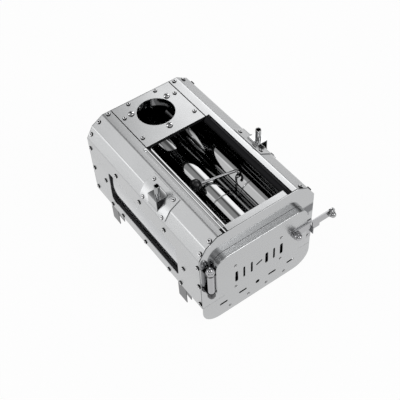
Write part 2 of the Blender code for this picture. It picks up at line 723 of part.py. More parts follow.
def ash_tray():
    """The open tray behind the drawer's front, hung by its lips on the drawer rails."""
    front = -HALF_LENGTH + SHEET + GAP
    lip_x = TRAY_X + TRAY_LIP
    path = [(-lip_x, TRAY_TOP_Z), (-TRAY_X, TRAY_TOP_Z), (-TRAY_X, TRAY_LOW_Z)]
    path += [(TRAY_X, TRAY_LOW_Z), (TRAY_X, TRAY_TOP_Z), (lip_x, TRAY_TOP_Z)]
    tray = prism("ash_tray", [folded(path)], FRONT_FACE, -front, TRAY_REAR_Y - front, "brushed_steel")
    low_z, reach = TRAY_LOW_Z + BITE, TRAY_X + BITE
    rear_wall = box("wall", (-reach, TRAY_REAR_Y - SHEET, low_z), (reach, TRAY_REAR_Y, TRAY_TOP_Z))
    front_wall = box("wall", (-reach, front, low_z), (reach, front + SHEET, TRAY_TOP_Z))
    edge = TRAY_X - TRAY_WINDOW_MARGIN
    window = rectangle((-edge, TRAY_WINDOW_Z[0]), (edge, TRAY_WINDOW_Z[1]))
    start = HALF_LENGTH + CUTTER_REACH
    cut(front_wall, prism("cutter", [window], FRONT_FACE, start, 2 * CUTTER_REACH, "brushed_steel"))
    return join(tray, rear_wall, front_wall)


def drawer_rail(name, side):
    """A channel under the floor that carries one lip of the tray."""
    inner, outer = TRAY_X + 2 * SHEET, TRAY_X + TRAY_LIP + 3 * GAP
    low = TRAY_TOP_Z - DRAWER_RAIL_CLEARANCE
    path = [(inner, low), (outer, low), (outer, -GAP), (outer + DRAWER_RAIL_FLANGE, -GAP)]
    outline = path + offset_path(path, -SHEET)[::-1]
    if side < 0:
        outline = mirrored([outline])[0]
    start = HALF_LENGTH - DRAWER_RAIL_FRONT
    return prism(name, [outline], FRONT_FACE, start, TRAY_REAR_Y + start, "dark_steel")


# Door, hinge and latch


def door_pan():
    """A pressed pan with round corners and a row of air vents."""
    low, high = (-DOOR_HALF_WIDTH, DOOR_LOW_Z), (DOOR_HALF_WIDTH, DOOR_HIGH_Z)
    outer = rounded_rectangle(low, high, DOOR_CORNER, 8)
    inside_low = (low[0] + SHEET, low[1] + SHEET)
    inside_high = (high[0] - SHEET, high[1] - SHEET)
    inner = rounded_rectangle(inside_low, inside_high, DOOR_CORNER - SHEET, 8)
    holes = [circle((LATCH_X, LATCH_Z), PIN_RADIUS + RUNNING, 14)] + door_vents()
    face = HALF_LENGTH + DOOR_DEPTH
    pan = prism("door_pan", [outer] + holes, FRONT_FACE, face, SHEET, "brushed_steel")
    start = face - BITE
    wall = prism("wall", [outer, inner], FRONT_FACE, start, start - HALF_LENGTH - GAP, "brushed_steel")
    return join(pan, wall)


def door_vents():
    """Seven upright vents, three of them broad, with a short sloping one in the middle."""
    vents = []
    for place in range(-3, 4):
        height = VENT_HEIGHT if place else VENT_HEIGHT * MIDDLE_VENT_SHARE
        width = BROAD_VENT_WIDTH if place in BROAD_VENTS else VENT_WIDTH
        turn = 90 if place else MIDDLE_VENT_TURN
        vents.append(slot((VENT_X + place * VENT_PITCH, VENT_Z), height, width, turn))
    return vents


def door_baffle():
    """The tray riveted inside the pan, which turns the air from the vents up to its own slot."""
    low, high = (BAFFLE_X[0], BAFFLE_Z[0]), (BAFFLE_X[1], BAFFLE_Z[1])
    outer = rounded_rectangle(low, high, BAFFLE_CORNER, steps=3)
    inside_low, inside_high = (low[0] + SHEET, low[1] + SHEET), (high[0] - SHEET, high[1] - SHEET)
    inner = rounded_rectangle(inside_low, inside_high, BAFFLE_CORNER - SHEET, steps=3)
    slit = slot(((low[0] + high[0]) / 2, high[1] - BAFFLE_SLOT_DROP), *BAFFLE_SLOT)
    rim = HALF_LENGTH + DOOR_DEPTH - SHEET - GAP
    back = rim - BAFFLE_DEPTH + SHEET
    plate = prism("door_baffle", [outer, slit], FRONT_FACE, back, SHEET, "dark_steel")
    depth = rim - back + BITE
    return join(plate, prism("wall", [outer, inner], FRONT_FACE, rim, depth, "dark_steel"))


def door_knuckle():
    """The barrel on the hinge pin, with the leaf that reaches to the pan's side."""
    z0, z1 = BARREL_Z
    bore = PIN_RADIUS + RUNNING
    profile = [(bore, z0), (BARREL_RADIUS, z0), (BARREL_RADIUS, z1), (bore, z1)]
    barrel = turned("door_knuckle", profile, (HINGE_X, HINGE_Y, 0), (0, 0, 1), "dark_steel", 24)
    reach = -DOOR_HALF_WIDTH - GAP
    start = HINGE_X + (bore + BARREL_RADIUS) / 2
    low, high = z0 + LEAF_SET_BACK, z1 - LEAF_SET_BACK
    leaf = box("leaf", (start, HINGE_Y - LEAF_HALF_THICK, low), (reach, HINGE_Y + LEAF_HALF_THICK, high))
    pad = box("pad", (reach - SHEET, HINGE_Y - PAD_HALF_WIDTH, low), (reach, HINGE_Y + PAD_HALF_WIDTH, high))
    return join(barrel, leaf, pad)


def hinge_lug(name, low_z):
    """One ear of the hinge, standing out from the front plate with its eye on the pin."""
    back = -HALF_LENGTH - GAP
    outline = [(HINGE_X + LUG_RADIUS, back), (HINGE_X - LUG_RADIUS, back)]
    outline += arc((HINGE_X, HINGE_Y), LUG_RADIUS, -180, 0, 10)
    hole = circle((HINGE_X, HINGE_Y), PIN_RADIUS + RUNNING, 14)
    return prism(name, [outline, hole], TOP_FACE, low_z + LUG_THICK, LUG_THICK, "brushed_steel")


def hinge_lug_places():
    return {"hinge_lug_upper": BARREL_Z[1] + GAP, "hinge_lug_lower": BARREL_Z[0] - GAP - LUG_THICK}


def hinge_pin():
    reach = LUG_THICK + 2 * GAP + NUT_GRIP
    low, high = BARREL_Z[0] - reach, BARREL_Z[1] + reach
    return rod_between("hinge_pin", (HINGE_X, HINGE_Y, low), (HINGE_X, HINGE_Y, high), PIN_RADIUS, sides=14)


def cap_nut(name, place, axis, colour="polished_steel"):
    """A domed hexagon nut whose flat base is at place, with a blind hole in the base."""
    corner = NUT_CORNER_RADIUS
    ball = corner * NUT_DOME_SHARE
    profile = [(0, NUT_HEX / 2), (ball, NUT_HEX / 2), (ball, NUT_HEX)]
    profile += [(ball * math.cos(a), NUT_HEX + NUT_DOME * math.sin(a)) for a in NUT_DOME_ANGLES]
    profile.append((0, NUT_HEX + NUT_DOME))
    dome = turned(name, profile, (0, 0, 0), (0, 0, 1), colour, 20)
    hexagon = prism("hexagon", [circle((0, 0), corner, 6)], TOP_FACE, NUT_HEX, NUT_HEX, colour)
    join(dome, hexagon)
    cut(dome, rod_between("cutter", (0, 0, -BITE), (0, 0, NUT_BORE_DEPTH), PIN_RADIUS + RUNNING, sides=14))
    turn = Vector((0, 0, 1)).rotation_difference(Vector(axis)).to_matrix().to_4x4()
    dome.data.transform(Matrix.Translation(place) @ turn)
    return dome


def latch_bolt():
    """The bolt that the lever turns on: its head is inside the pan."""
    inside = -HALF_LENGTH - DOOR_DEPTH + SHEET + GAP
    tip = inside - (LEVER_FACE_Y - GAP - NUT_GRIP)
    profile = [(0, -BOLT_RISE), (BOLT_HEAD, -BOLT_RISE), (BOLT_HEAD, 0)]
    profile += [(PIN_RADIUS, 0), (PIN_RADIUS, tip), (0, tip)]
    return turned("latch_bolt", profile, (LATCH_X, inside, LATCH_Z), (0, -1, 0), "brushed_steel", 14)


def latch_lever():
    """A flat bar on its bolt: a hooked tab with an entry slit, then the handle with its round end."""
    top, low = LATCH_Z + LEVER_HALF_HEIGHT, LATCH_Z - LEVER_HALF_HEIGHT
    pivot_end = arc((LATCH_X, LATCH_Z), LEVER_HALF_HEIGHT, 90, 270, 8)
    slit = TAB_X[0] - SLIT_WIDTH
    outline = pivot_end + [(slit, low)]
    slit_top = top - SLIT_TOP_MARGIN
    outline += [(slit, slit_top), (TAB_X[0], slit_top)]
    outline += [(TAB_X[0], TAB_LOW_Z), (TAB_X[1], TAB_LOW_Z), (TAB_X[1], low)]
    spread = math.degrees(math.asin(LEVER_HALF_HEIGHT / LEVER_END_RADIUS))
    outline += arc((LEVER_END_X, LATCH_Z), LEVER_END_RADIUS, -180 + spread, 180 - spread, 14)
    holes = [circle((LATCH_X, LATCH_Z), PIN_RADIUS + RUNNING, 14)]
    holes.append(circle((LEVER_END_X, LATCH_Z), LEVER_END_BORE, 12))
    return prism("latch_lever", [outline] + holes, FRONT_FACE, -LEVER_FACE_Y, LEVER_THICK, "brushed_steel")


def latch_knob():
    """The domed stud that a finger lifts, held through the lever's end."""
    front = LEVER_FACE_Y - GAP
    gap_depth = LEVER_THICK + 2 * GAP
    foot, thick = KNOB_FOOT
    profile = [(0, -gap_depth - thick), (foot, -gap_depth - thick), (foot, -gap_depth)]
    profile += [(KNOB_SHANK, -gap_depth), (KNOB_SHANK, 0), (KNOB_COLLAR[0], 0), KNOB_COLLAR]
    radius, top = KNOB_DOME
    start = top - radius * 0.8
    profile += [(radius * math.cos(a), start + radius * 0.8 * math.sin(a)) for a in (0, 0.5, 1.0)]
    profile.append((0, top))
    return turned("latch_knob", profile, (LEVER_END_X, front, LATCH_Z), (0, -1, 0), "polished_steel", 20)


def latch_keeper():
    """An angle on the front plate whose blade stands in the lever's slit."""
    back = -HALF_LENGTH - GAP
    blade_x = TAB_X[0] - BLADE_INTO_SLIT
    low, high = (blade_x - SHEET, back - SHEET, KEEPER_Z[0]), (KEEPER_OUT_X, back, KEEPER_Z[1])
    flange = box("latch_keeper", low, high)
    low = (blade_x - SHEET, LEVER_FACE_Y - BLADE_REACH, BLADE_LOW_Z)
    high = (blade_x, back - BITE, LATCH_Z - LEVER_HALF_HEIGHT + BLADE_REACH)
    return join(flange, box("blade", low, high))


# Legs


def leg_places():
    return {
        "front_left": (-1, LEG_FRONT_Y, 1),
        "front_right": (1, LEG_FRONT_Y, 1),
        "rear_left": (-1, LEG_REAR_Y, -1),
        "rear_right": (1, LEG_REAR_Y, -1),
    }


def leg_centre_x(side):
    return side * (LEG_BRACKET_X - LEG_BRACKET_WIDTH / 2)


def leg_bracket(name, side, y):
    """A channel under the floor with the leg's pin riveted in, and the foot while the leg is folded."""
    half = LEG_BRACKET_WIDTH / 2
    low, top = GROUND_Z, -GAP
    path = [(half, low), (half, top), (-half, top), (-half, low)]
    x = leg_centre_x(side)
    outline = [(x + u, v) for u, v in folded(path, LEG_SHEET)]
    start = -(y - LEG_BRACKET_LENGTH / 2)
    bracket = prism(name, [outline], FRONT_FACE, start, LEG_BRACKET_LENGTH, "brushed_steel")
    return join(bracket, leg_pin(side, y))


def leg_pin_hole(side, y):
    x = leg_centre_x(side)
    ends = [(x + reach, y, LEG_PIVOT_Z) for reach in (-LEG_BRACKET_WIDTH, LEG_BRACKET_WIDTH)]
    return rod_between("cutter", *ends, LEG_PIN_RADIUS + RUNNING, sides=12)


def leg_pin(side, y):
    """A pin across the bracket with a flat head at each end."""
    half = LEG_BRACKET_WIDTH / 2 - BITE
    head, end = LEG_PIN_HEAD, LEG_BRACKET_WIDTH / 2 + LEG_PIN_RISE
    profile = [(0, -end), (head, -end), (head, -half), (LEG_PIN_RADIUS, -half)]
    profile += [(LEG_PIN_RADIUS, half), (head, half), (head, end), (0, end)]
    return turned("pin", profile, (leg_centre_x(side), y, LEG_PIVOT_Z), (1, 0, 0), "brushed_steel", 12)


def leg(name, side, y, way):
    """A channel with a round pivot end, folded flat under the floor and pointing way along y."""
    half, end = LEG_WIDTH / 2, LEG_END_RADIUS
    x = leg_centre_x(side)
    outline = arc((0, 0), end, 90, 270, 8) + [(LEG_LENGTH, -end), (LEG_LENGTH, end)]
    outline = [(way * u, v) for u, v in outline]
    if way < 0:
        outline = outline[::-1]
    placed = [(y + u, LEG_PIVOT_Z + v) for u, v in outline]
    body = prism(name, [placed], RIGHT_FACE, x + half, LEG_WIDTH, "brushed_steel")
    ys = sorted((y - way * LEG_OPEN_FROM, y + way * (LEG_LENGTH + CUTTER_REACH)))
    low = (x - half + LEG_SHEET, ys[0], LEG_PIVOT_Z - end - CUTTER_REACH)
    high = (x + half - LEG_SHEET, ys[1], LEG_PIVOT_Z + end - LEG_SHEET)
    return cut(body, box("cutter", low, high), leg_pin_hole(side, y))


# Stored pieces


def flue_tube_places():
    """Two tubes lie on the grate, and three more in the hollows beside and between them."""
    touch = 2 * FLUE_TUBE_RADIUS + GAP
    rise = math.sqrt(touch**2 - (FLUE_TUBE_PITCH / 2) ** 2)
    low = GRATE_TOP_Z + GAP + FLUE_TUBE_RADIUS
    return {
        name: (FLUE_TUBE_MIDDLE_X + steps * FLUE_TUBE_PITCH, 0, low + row * rise)
        for name, (steps, row) in FLUE_TUBES.items()
    }


def flue_section(name, place):
    """A flue tube, stored inside the firebox, with a drawn-in rear end."""
    (front, rear), wall = FLUE_TUBE_Y, FLUE_TUBE_WALL
    outer, neck = FLUE_TUBE_RADIUS, FLUE_TUBE_RADIUS - FLUE_TUBE_DRAW
    draw, step = (rear - back for back in FLUE_TUBE_NECK)
    profile = [(outer - wall, front), (outer, front), (outer, draw), (neck, step), (neck, rear)]
    profile += [(neck - wall, rear), (neck - wall, step), (outer - wall, draw)]
    return turned(name, profile, place, (0, 1, 0), "polished_steel", 36)


def hook_path():
    """Points along the lifting rod: straight from the ball, then round its open hook."""
    ball, turn_at = Vector(BALL_AT), Vector(HOOK_AT)
    along = (turn_at - ball).normalized()
    across = along.cross(Vector((0, 0, 1))).normalized()
    centre = turn_at + across * HOOK_RADIUS
    points = [ball + along * (BALL_RADIUS * ROD_IN_BALL), ball.lerp(turn_at, 0.5), turn_at]
    for step in range(1, HOOK_STEPS + 1):
        a = math.radians(HOOK_TURN * step / HOOK_STEPS)
        points.append(centre - across * HOOK_RADIUS * math.cos(a) + along * HOOK_RADIUS * math.sin(a))
    return points


def lifter_rod():
    curve = bpy.data.curves.new("lifter_rod", "CURVE")
    curve.dimensions = "3D"
    curve.bevel_depth = ROD_RADIUS
    curve.bevel_resolution = 2
    curve.use_fill_caps = True
    points = hook_path()
    spline = curve.splines.new("POLY")
    spline.points.add(len(points) - 1)
    for point, place in zip(spline.points, points):
        point.co = (*place, 1)
    guide = bpy.data.objects.new("guide", curve)
    bpy.context.scene.collection.objects.link(guide)
    graph = bpy.context.evaluated_depsgraph_get()
    mesh = bpy.data.meshes.new_from_object(guide.evaluated_get(graph))
    bpy.data.objects.remove(guide, do_unlink=True)
    weld(mesh)
    return finish("lifter_rod", mesh, "polished_steel", 50)


def lifter_ball():
    """The black knob, bored for the end of the rod."""
    steps = 10
    profile = [
        (BALL_RADIUS * math.sin(math.pi * i / steps), -BALL_RADIUS * math.cos(math.pi * i / steps))
        for i in range(steps + 1)
    ]
    profile[0] = (0, -BALL_RADIUS)
    profile[-1] = (0, BALL_RADIUS)
    ball = turned("lifter_ball", profile, BALL_AT, (0, 0, 1), "ball_black", 20)
    centre = Vector(BALL_AT)
    along = (Vector(HOOK_AT) - centre).normalized()
    bore = (centre + along * BALL_RADIUS * BORE_IN_BALL, centre + along * 2 * BALL_RADIUS)
    return cut(ball, rod_between("cutter", *bore, ROD_RADIUS + ROD_CLEARANCE, sides=12))


# Assembly


def both_sides(make, word):
    return [make(f"left_{word}", -1), make(f"right_{word}", 1)]


def build_body():
    pieces = both_sides(shell, "shell")
    pieces += [front_plate(), back_plate(), floor_plate(), flue_plate(), flue_collar()]
    pieces += [front_top_strip(), fire_grate()]
    for make, word in (
        (plate_rail, "plate_rail"),
        (window_gasket, "window_gasket"),
        (window_pane, "window_pane"),
        (window_frame, "window_frame"),
        (saddle_plate, "saddle_plate"),
        (peg_bracket, "peg_bracket"),
        (peg_tube, "peg_tube"),
        (drawer_rail, "drawer_rail"),
    ):
        pieces += both_sides(make, word)
    pieces += [flue_screw(f"flue_screw_{name}", place) for name, place in flue_screw_places().items()]
    pieces += [flue_section(f"flue_section_{word}", place) for word, place in flue_tube_places().items()]
    pieces += [hinge_lug(name, low_z) for name, low_z in hinge_lug_places().items()]
    pieces += [hinge_pin(), latch_keeper()]
    nut_gap = LUG_THICK + 2 * GAP
    pieces.append(cap_nut("hinge_nut_upper", (HINGE_X, HINGE_Y, BARREL_Z[1] + nut_gap), (0, 0, 1)))
    pieces.append(cap_nut("hinge_nut_lower", (HINGE_X, HINGE_Y, BARREL_Z[0] - nut_gap), (0, 0, -1)))
    for name, (side, y, _) in leg_places().items():
        pieces.append(leg_bracket(f"leg_bracket_{name}", side, y))
    return pieces


def build_moving():
    """The moving pieces, each with its origin on its joint's axis."""
    hinge = (HINGE_X, HINGE_Y, DOOR_LOW_Z)
    pivot = (LATCH_X, LEVER_FACE_Y, LATCH_Z)
    nut = cap_nut("latch_nut", (LATCH_X, LEVER_FACE_Y - GAP, LATCH_Z), (0, -1, 0))
    door = (door_pan(), door_baffle(), door_knuckle(), latch_bolt(), nut)
    pieces = [with_origin(piece, hinge) for piece in door]
    pieces += [with_origin(piece, pivot) for piece in (latch_lever(), latch_knob())]
    pieces += [with_origin(piece, (0, -HALF_LENGTH, APRON_SLOT_Z)) for piece in (drawer_front(), ash_tray())]
    for name, (side, y, way) in leg_places().items():
        pieces.append(with_origin(leg(f"leg_{name}", side, y, way), (leg_centre_x(side), y, LEG_PIVOT_Z)))
    pieces += [with_origin(piece, BALL_AT) for piece in (lifter_rod(), lifter_ball())]
    return pieces


def main():
    clear_scene()
    stove = bpy.data.objects.new("stove", None)
    bpy.context.scene.collection.objects.link(stove)
    stove.location = (-CENTRE_X, -CENTRE_Y, -GROUND_Z)
    for piece in build_body() + build_moving():
        piece.parent = stove


main()
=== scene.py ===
import json
import math

import bmesh
import bpy
from bpy.props import FloatProperty, FloatVectorProperty, PointerProperty
from bpy.types import Operator, Panel, PropertyGroup
from mathutils import Matrix, Vector


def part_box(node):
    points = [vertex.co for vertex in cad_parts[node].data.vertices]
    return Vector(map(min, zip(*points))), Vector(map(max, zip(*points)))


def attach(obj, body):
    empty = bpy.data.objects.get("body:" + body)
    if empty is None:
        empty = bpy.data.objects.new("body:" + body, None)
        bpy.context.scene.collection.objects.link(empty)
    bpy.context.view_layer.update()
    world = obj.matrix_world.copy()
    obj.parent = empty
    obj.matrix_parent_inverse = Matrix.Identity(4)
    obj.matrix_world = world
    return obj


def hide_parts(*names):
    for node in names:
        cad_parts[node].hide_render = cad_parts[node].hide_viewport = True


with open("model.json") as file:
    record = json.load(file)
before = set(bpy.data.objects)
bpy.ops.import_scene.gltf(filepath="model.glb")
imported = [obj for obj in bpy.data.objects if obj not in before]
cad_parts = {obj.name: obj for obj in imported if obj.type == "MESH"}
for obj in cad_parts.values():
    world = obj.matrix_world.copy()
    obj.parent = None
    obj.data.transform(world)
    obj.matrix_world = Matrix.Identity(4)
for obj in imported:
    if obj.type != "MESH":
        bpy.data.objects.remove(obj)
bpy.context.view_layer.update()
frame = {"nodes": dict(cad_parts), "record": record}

bl_info = {
    "name": "Camping Stove Dressing",
    "version": (1, 0, 0),
    "blender": (4, 5, 0),
    "location": "3D View > Sidebar > Stove",
    "description": "Steel finishes, rivets and rounded pressings for the packed camping stove",
    "category": "Object",
}

# The body's own frame: its middle across and along, and the lower edge of the side sheets
SHELL_LOW, SHELL_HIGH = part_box("left_shell")[0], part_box("right_shell")[1]
FRONT_FACE_Y, BACK_FACE_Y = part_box("front_plate")[0].y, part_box("back_plate")[1].y
BODY = Vector(((SHELL_LOW.x + SHELL_HIGH.x) / 2, (FRONT_FACE_Y + BACK_FACE_Y) / 2, SHELL_LOW.z))
HALF_WIDTH = (SHELL_HIGH.x - SHELL_LOW.x) / 2
TOP_Z = SHELL_HIGH.z - SHELL_LOW.z
FIREBOX_MIDDLE = BODY + Vector((0.0, 0.0, 0.08))
DOOR_LOW, DOOR_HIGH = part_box("door_pan")

# Shoulders of the body's section, from the side up to the top flat
SIDE_TOP = Vector((HALF_WIDTH, 0.0, 0.1269))
SHOULDER = Vector((0.0968, 0.0, 0.1480))
FLAT_EDGE = Vector((0.0752, 0.0, TOP_Z))
SADDLE_LIFT = 0.0015

SHEET = 0.0012
GAP = 0.0003
MERGE = 1e-6
COPLANAR = math.radians(1.0)
SHARP = math.radians(50.0)
SMOOTH = math.radians(28.0)
SHALLOW = math.radians(15.0)
LONG_BEND = 0.05

# Widths of rounded edges: on thin pieces, fine ones, plain sheets and soft seals, and of a sheet's bends
THIN_EDGE, FINE_EDGE, PLAIN_EDGE, SEAL_EDGE = 0.0001, 0.0002, 0.00025, 0.0006
BEND_WIDTH = 0.0020

# Camera of the photograph, measured from the body's frame
CAMERA_AIM = Vector((-0.01754, -0.03189, 0.08035))
CAMERA_AZIMUTH = math.radians(-32.581)
CAMERA_ELEVATION = math.radians(49.611)
CAMERA_ROLL = math.radians(-3.885)
CAMERA_DISTANCE = 1.29323
CAMERA_LENS = 71.02
SENSOR = 36.0

BODY_OF = {
    node: body for body, nodes in frame["record"]["behaviour"]["bodies"].items() for node in nodes
}


def at(x, y, z):
    """A point given in the body's own frame."""
    return BODY + Vector((x, y, z))


# Node trees


def add_socket(tree, kind, name, socket_type, default=None):
    socket = tree.interface.new_socket(name, in_out=kind, socket_type=socket_type)
    if default is not None:
        socket.default_value = default


def new_group(name, inputs, outputs):
    """An empty shader node group, with its input and output nodes."""
    tree = bpy.data.node_groups.new(name, "ShaderNodeTree")
    for label, socket_type, default in inputs:
        add_socket(tree, "INPUT", label, socket_type, default)
    for label, socket_type in outputs:
        add_socket(tree, "OUTPUT", label, socket_type)
    return tree, tree.nodes.new("NodeGroupInput"), tree.nodes.new("NodeGroupOutput")


def math_node(tree, operation, first, second):
    node = tree.nodes.new("ShaderNodeMath")
    node.operation = operation
    for socket, value in zip(node.inputs, (first, second)):
        feed(tree, value, socket)
    return node.outputs[0]


def vector_node(tree, operation, first, second):
    node = tree.nodes.new("ShaderNodeVectorMath")
    node.operation = operation
    for socket, value in zip(node.inputs, (first, second)):
        feed(tree, value, socket)
    return node.outputs["Value" if operation == "DOT_PRODUCT" else "Vector"]


def noise_node(tree, coordinates, scale, detail=3.0, roughness=0.55):
    node = tree.nodes.new("ShaderNodeTexNoise")
    given = {"Vector": coordinates, "Scale": scale, "Detail": detail, "Roughness": roughness}
    for label, value in given.items():
        feed(tree, value, node.inputs[label])
    return node.outputs["Fac"]


def range_node(tree, value, low, high, to_low=0.0, to_high=1.0):
    node = tree.nodes.new("ShaderNodeMapRange")
    for socket, given in zip(node.inputs, (value, low, high, to_low, to_high)):
        feed(tree, given, socket)
    return node.outputs["Result"]


def mix_colours(tree, share, first, second):
    return mix_values(tree, share, first, second, "RGBA")


def mix_values(tree, share, first, second, kind="FLOAT"):
    node = tree.nodes.new("ShaderNodeMix")
    node.data_type = kind
    feed(tree, share, node.inputs["Factor"])
    feed(tree, first, node.inputs["A"])
    feed(tree, second, node.inputs["B"])
    return node.outputs["Result"]


def feed(tree, value, socket):
    """Links a socket to another node's output, or sets it to a plain value."""
    if isinstance(value, bpy.types.NodeSocket):
        tree.links.new(value, socket)
    else:
        socket.default_value = (*value, 1.0) if socket.type == "RGBA" and len(value) == 3 else value


# Shared effects


# How cloudy a brushed tone is, and how handling marks are stretched and where they begin and end
CLOUD_SHARE = 0.4
MARKS_STRETCH = (1.0, 0.6, 1.3)
MARKS_EDGES = (0.42, 0.66)
WEAVE_SCALE = 320.0


def grain_group():
    """Fine parallel brushing: a tone that varies over the sheet and a height for its bump."""
    tree, given, made = new_group(
        "Brushed grain",
        [("Coordinates", "NodeSocketVector", None), ("Stretch", "NodeSocketVector", (1.0, 1.0, 1.0))],
        [("Tone", "NodeSocketFloat"), ("Height", "NodeSocketFloat")],
    )
    stretched = vector_node(tree, "MULTIPLY", given.outputs["Coordinates"], given.outputs["Stretch"])
    lines = noise_node(tree, stretched, scale=1.0, detail=4.0, roughness=0.7)
    cloud = noise_node(tree, given.outputs["Coordinates"], scale=420.0, detail=3.0, roughness=0.6)
    tree.links.new(mix_values(tree, CLOUD_SHARE, lines, cloud), made.inputs["Tone"])
    tree.links.new(lines, made.inputs["Height"])
    return tree


def marks_group():
    """Soft patches where the sheet was handled or wiped."""
    tree, given, made = new_group(
        "Handling marks",
        [("Coordinates", "NodeSocketVector", None), ("Scale", "NodeSocketFloat", 14.0)],
        [("Mask", "NodeSocketFloat")],
    )
    scaled = vector_node(tree, "MULTIPLY", given.outputs["Coordinates"], MARKS_STRETCH)
    patches = noise_node(tree, scaled, given.outputs["Scale"], detail=5.0, roughness=0.5)
    tree.links.new(range_node(tree, patches, *MARKS_EDGES), made.inputs["Mask"])
    return tree


def inside_group():
    """Tells the faces that look towards the middle of the firebox from those that look away from it."""
    tree, given, made = new_group(
        "Looks inward",
        [
            ("Position", "NodeSocketVector", None),
            ("Normal", "NodeSocketVector", None),
            ("Centre", "NodeSocketVector", tuple(FIREBOX_MIDDLE)),
        ],
        [("Inside", "NodeSocketFloat")],
    )
    outward = vector_node(tree, "SUBTRACT", given.outputs["Position"], given.outputs["Centre"])
    facing = vector_node(tree, "DOT_PRODUCT", outward, given.outputs["Normal"])
    tree.links.new(math_node(tree, "LESS_THAN", facing, 0.0), made.inputs["Inside"])
    return tree


def weave_group():
    """Crossed threads of a woven heat seal."""
    tree, given, made = new_group(
        "Seal weave",
        [("Coordinates", "NodeSocketVector", None)],
        [("Height", "NodeSocketFloat")],
    )
    heights = []
    for direction in ("DIAGONAL", "X"):
        wave = tree.nodes.new("ShaderNodeTexWave")
        wave.bands_direction = direction
        wave.inputs["Scale"].default_value = WEAVE_SCALE
        wave.inputs["Distortion"].default_value = 1.5
        tree.links.new(given.outputs["Coordinates"], wave.inputs["Vector"])
        heights.append(wave.outputs["Fac"])
    tree.links.new(math_node(tree, "MAXIMUM", *heights), made.inputs["Height"])
    return tree


SHARED = {}


def shared(make):
    """The node group that this function makes, made when it is first needed."""
    if make not in SHARED:
        SHARED[make] = make()
    return SHARED[make]


def group_node(tree, group, **inputs):
    node = tree.nodes.new("ShaderNodeGroup")
    node.node_tree = group
    for label, value in inputs.items():
        feed(tree, value, node.inputs[label])
    return node


# Materials


# Brushing directions: cells per metre along each axis
GRAIN_ALONG_Y = (1900.0, 60.0, 1900.0)
GRAIN_ALONG_X = (60.0, 1900.0, 1900.0)
GRAIN_ALONG_Z = (1900.0, 1900.0, 60.0)
GRAIN_DEPTH = 0.00004
# How much smoother wiped steel is, and how much rougher where it was handled
WIPED, HANDLED = 0.92, 1.12
FIREBOX_ROUGHNESS = 0.05

PLATED_ROUGHNESS = 0.09
RIVET_COLOUR, RIVET_ROUGHNESS = (0.72, 0.72, 0.73), 0.08
# Painted shade: dark steel of the hinge, the latch bolt and the leg brackets
HINGE_SHADE_COLOUR, HINGE_SHADE_ROUGHNESS = (0.08, 0.08, 0.083), 0.14
# Near-black painted shade of the ash tray and the right-hand rail
BLACK_SHADE_COLOUR, BLACK_SHADE_ROUGHNESS = (0.012, 0.012, 0.013), 0.24
# Near-black tones of the painted shade in hollows, joints and shadowed faces
PAINTED_SHADE_COLOURS = ((0.003, 0.003, 0.003), (0.012, 0.012, 0.013))
GLASS_COLOURS = ((0.66, 0.67, 0.68), (0.61, 0.62, 0.64))
SEAL_COLOURS = ((0.008, 0.008, 0.009), (0.03, 0.03, 0.032))
KNOB_COLOURS = ((0.010, 0.010, 0.011), (0.018, 0.018, 0.019))


def chosen():
    """The colours and finishes that are set in the sidebar."""
    return bpy.context.scene.stove_looks


def new_material(name):
    """A material with only a Principled shader, its output and an Object coordinate node."""
    made = bpy.data.materials.new(name)
    made.use_nodes = True
    tree = made.node_tree
    tree.nodes.clear()
    shader = tree.nodes.new("ShaderNodeBsdfPrincipled")
    out = tree.nodes.new("ShaderNodeOutputMaterial")
    tree.links.new(shader.outputs["BSDF"], out.inputs["Surface"])
    return made, tree, shader, tree.nodes.new("ShaderNodeTexCoord")


def bump(tree, shader, height, strength, distance):
    node = tree.nodes.new("ShaderNodeBump")
    node.inputs["Strength"].default_value = strength
    node.inputs["Distance"].default_value = distance
    tree.links.new(height, node.inputs["Height"])
    tree.links.new(node.outputs["Normal"], shader.inputs["Normal"])


def mottle(tree, shader, mask, colours, roughness=None):
    """Lets the shader's colour, and its roughness, vary between two values with a mask."""
    tree.links.new(mix_colours(tree, mask, *colours), shader.inputs["Base Color"])
    if roughness:
        tree.links.new(mix_values(tree, mask, *roughness), shader.inputs["Roughness"])


def steel(name, colour, roughness, stretch, spread, relief=0.0, firebox=False):
    """Steel with a grain, handling marks and, where firebox is set, painted shade on its inward faces: a
    darker colour with a mirror finish.
    """
    made, tree, shader, where = new_material(name)
    place = where.outputs["Object"]
    grain = group_node(tree, shared(grain_group), Coordinates=place, Stretch=stretch)
    marks = group_node(tree, shared(marks_group), Coordinates=place)
    light = [min(1.0, channel * (1 + spread)) for channel in colour]
    shade = [channel * (1 - spread) for channel in colour]
    tone = mix_colours(tree, grain.outputs["Tone"], shade, light)
    dull = mix_values(tree, marks.outputs["Mask"], roughness * WIPED, roughness * HANDLED)
    if firebox:
        # Painted shade: faces that look into the firebox take the darker inside colour
        facing, centre = where.outputs["Normal"], tuple(FIREBOX_MIDDLE)
        side = group_node(tree, shared(inside_group), Position=place, Normal=facing, Centre=centre)
        inside = side.outputs["Inside"]
        tone = mix_colours(tree, inside, tone, chosen().firebox_shade_colour)
        dull = mix_values(tree, inside, dull, FIREBOX_ROUGHNESS)
    tree.links.new(tone, shader.inputs["Base Color"])
    tree.links.new(dull, shader.inputs["Roughness"])
    shader.inputs["Metallic"].default_value = 1.0
    if relief:
        bump(tree, shader, grain.outputs["Height"], relief, GRAIN_DEPTH)
    return made


def satin_steel(name, grain):
    """Brushed sheet of the body, the door and the drawer."""
    colour, roughness = chosen().sheet_colour, chosen().sheet_roughness
    return steel(name, colour, roughness, grain, spread=0.05, relief=0.12, firebox=True)


def bright_steel(name, grain):
    """Smoother sheet of the front plate and the shoulder brackets."""
    colour, roughness = chosen().sheet_colour, chosen().bright_roughness
    return steel(name, colour, roughness, grain, spread=0.03, relief=0.03, firebox=True)


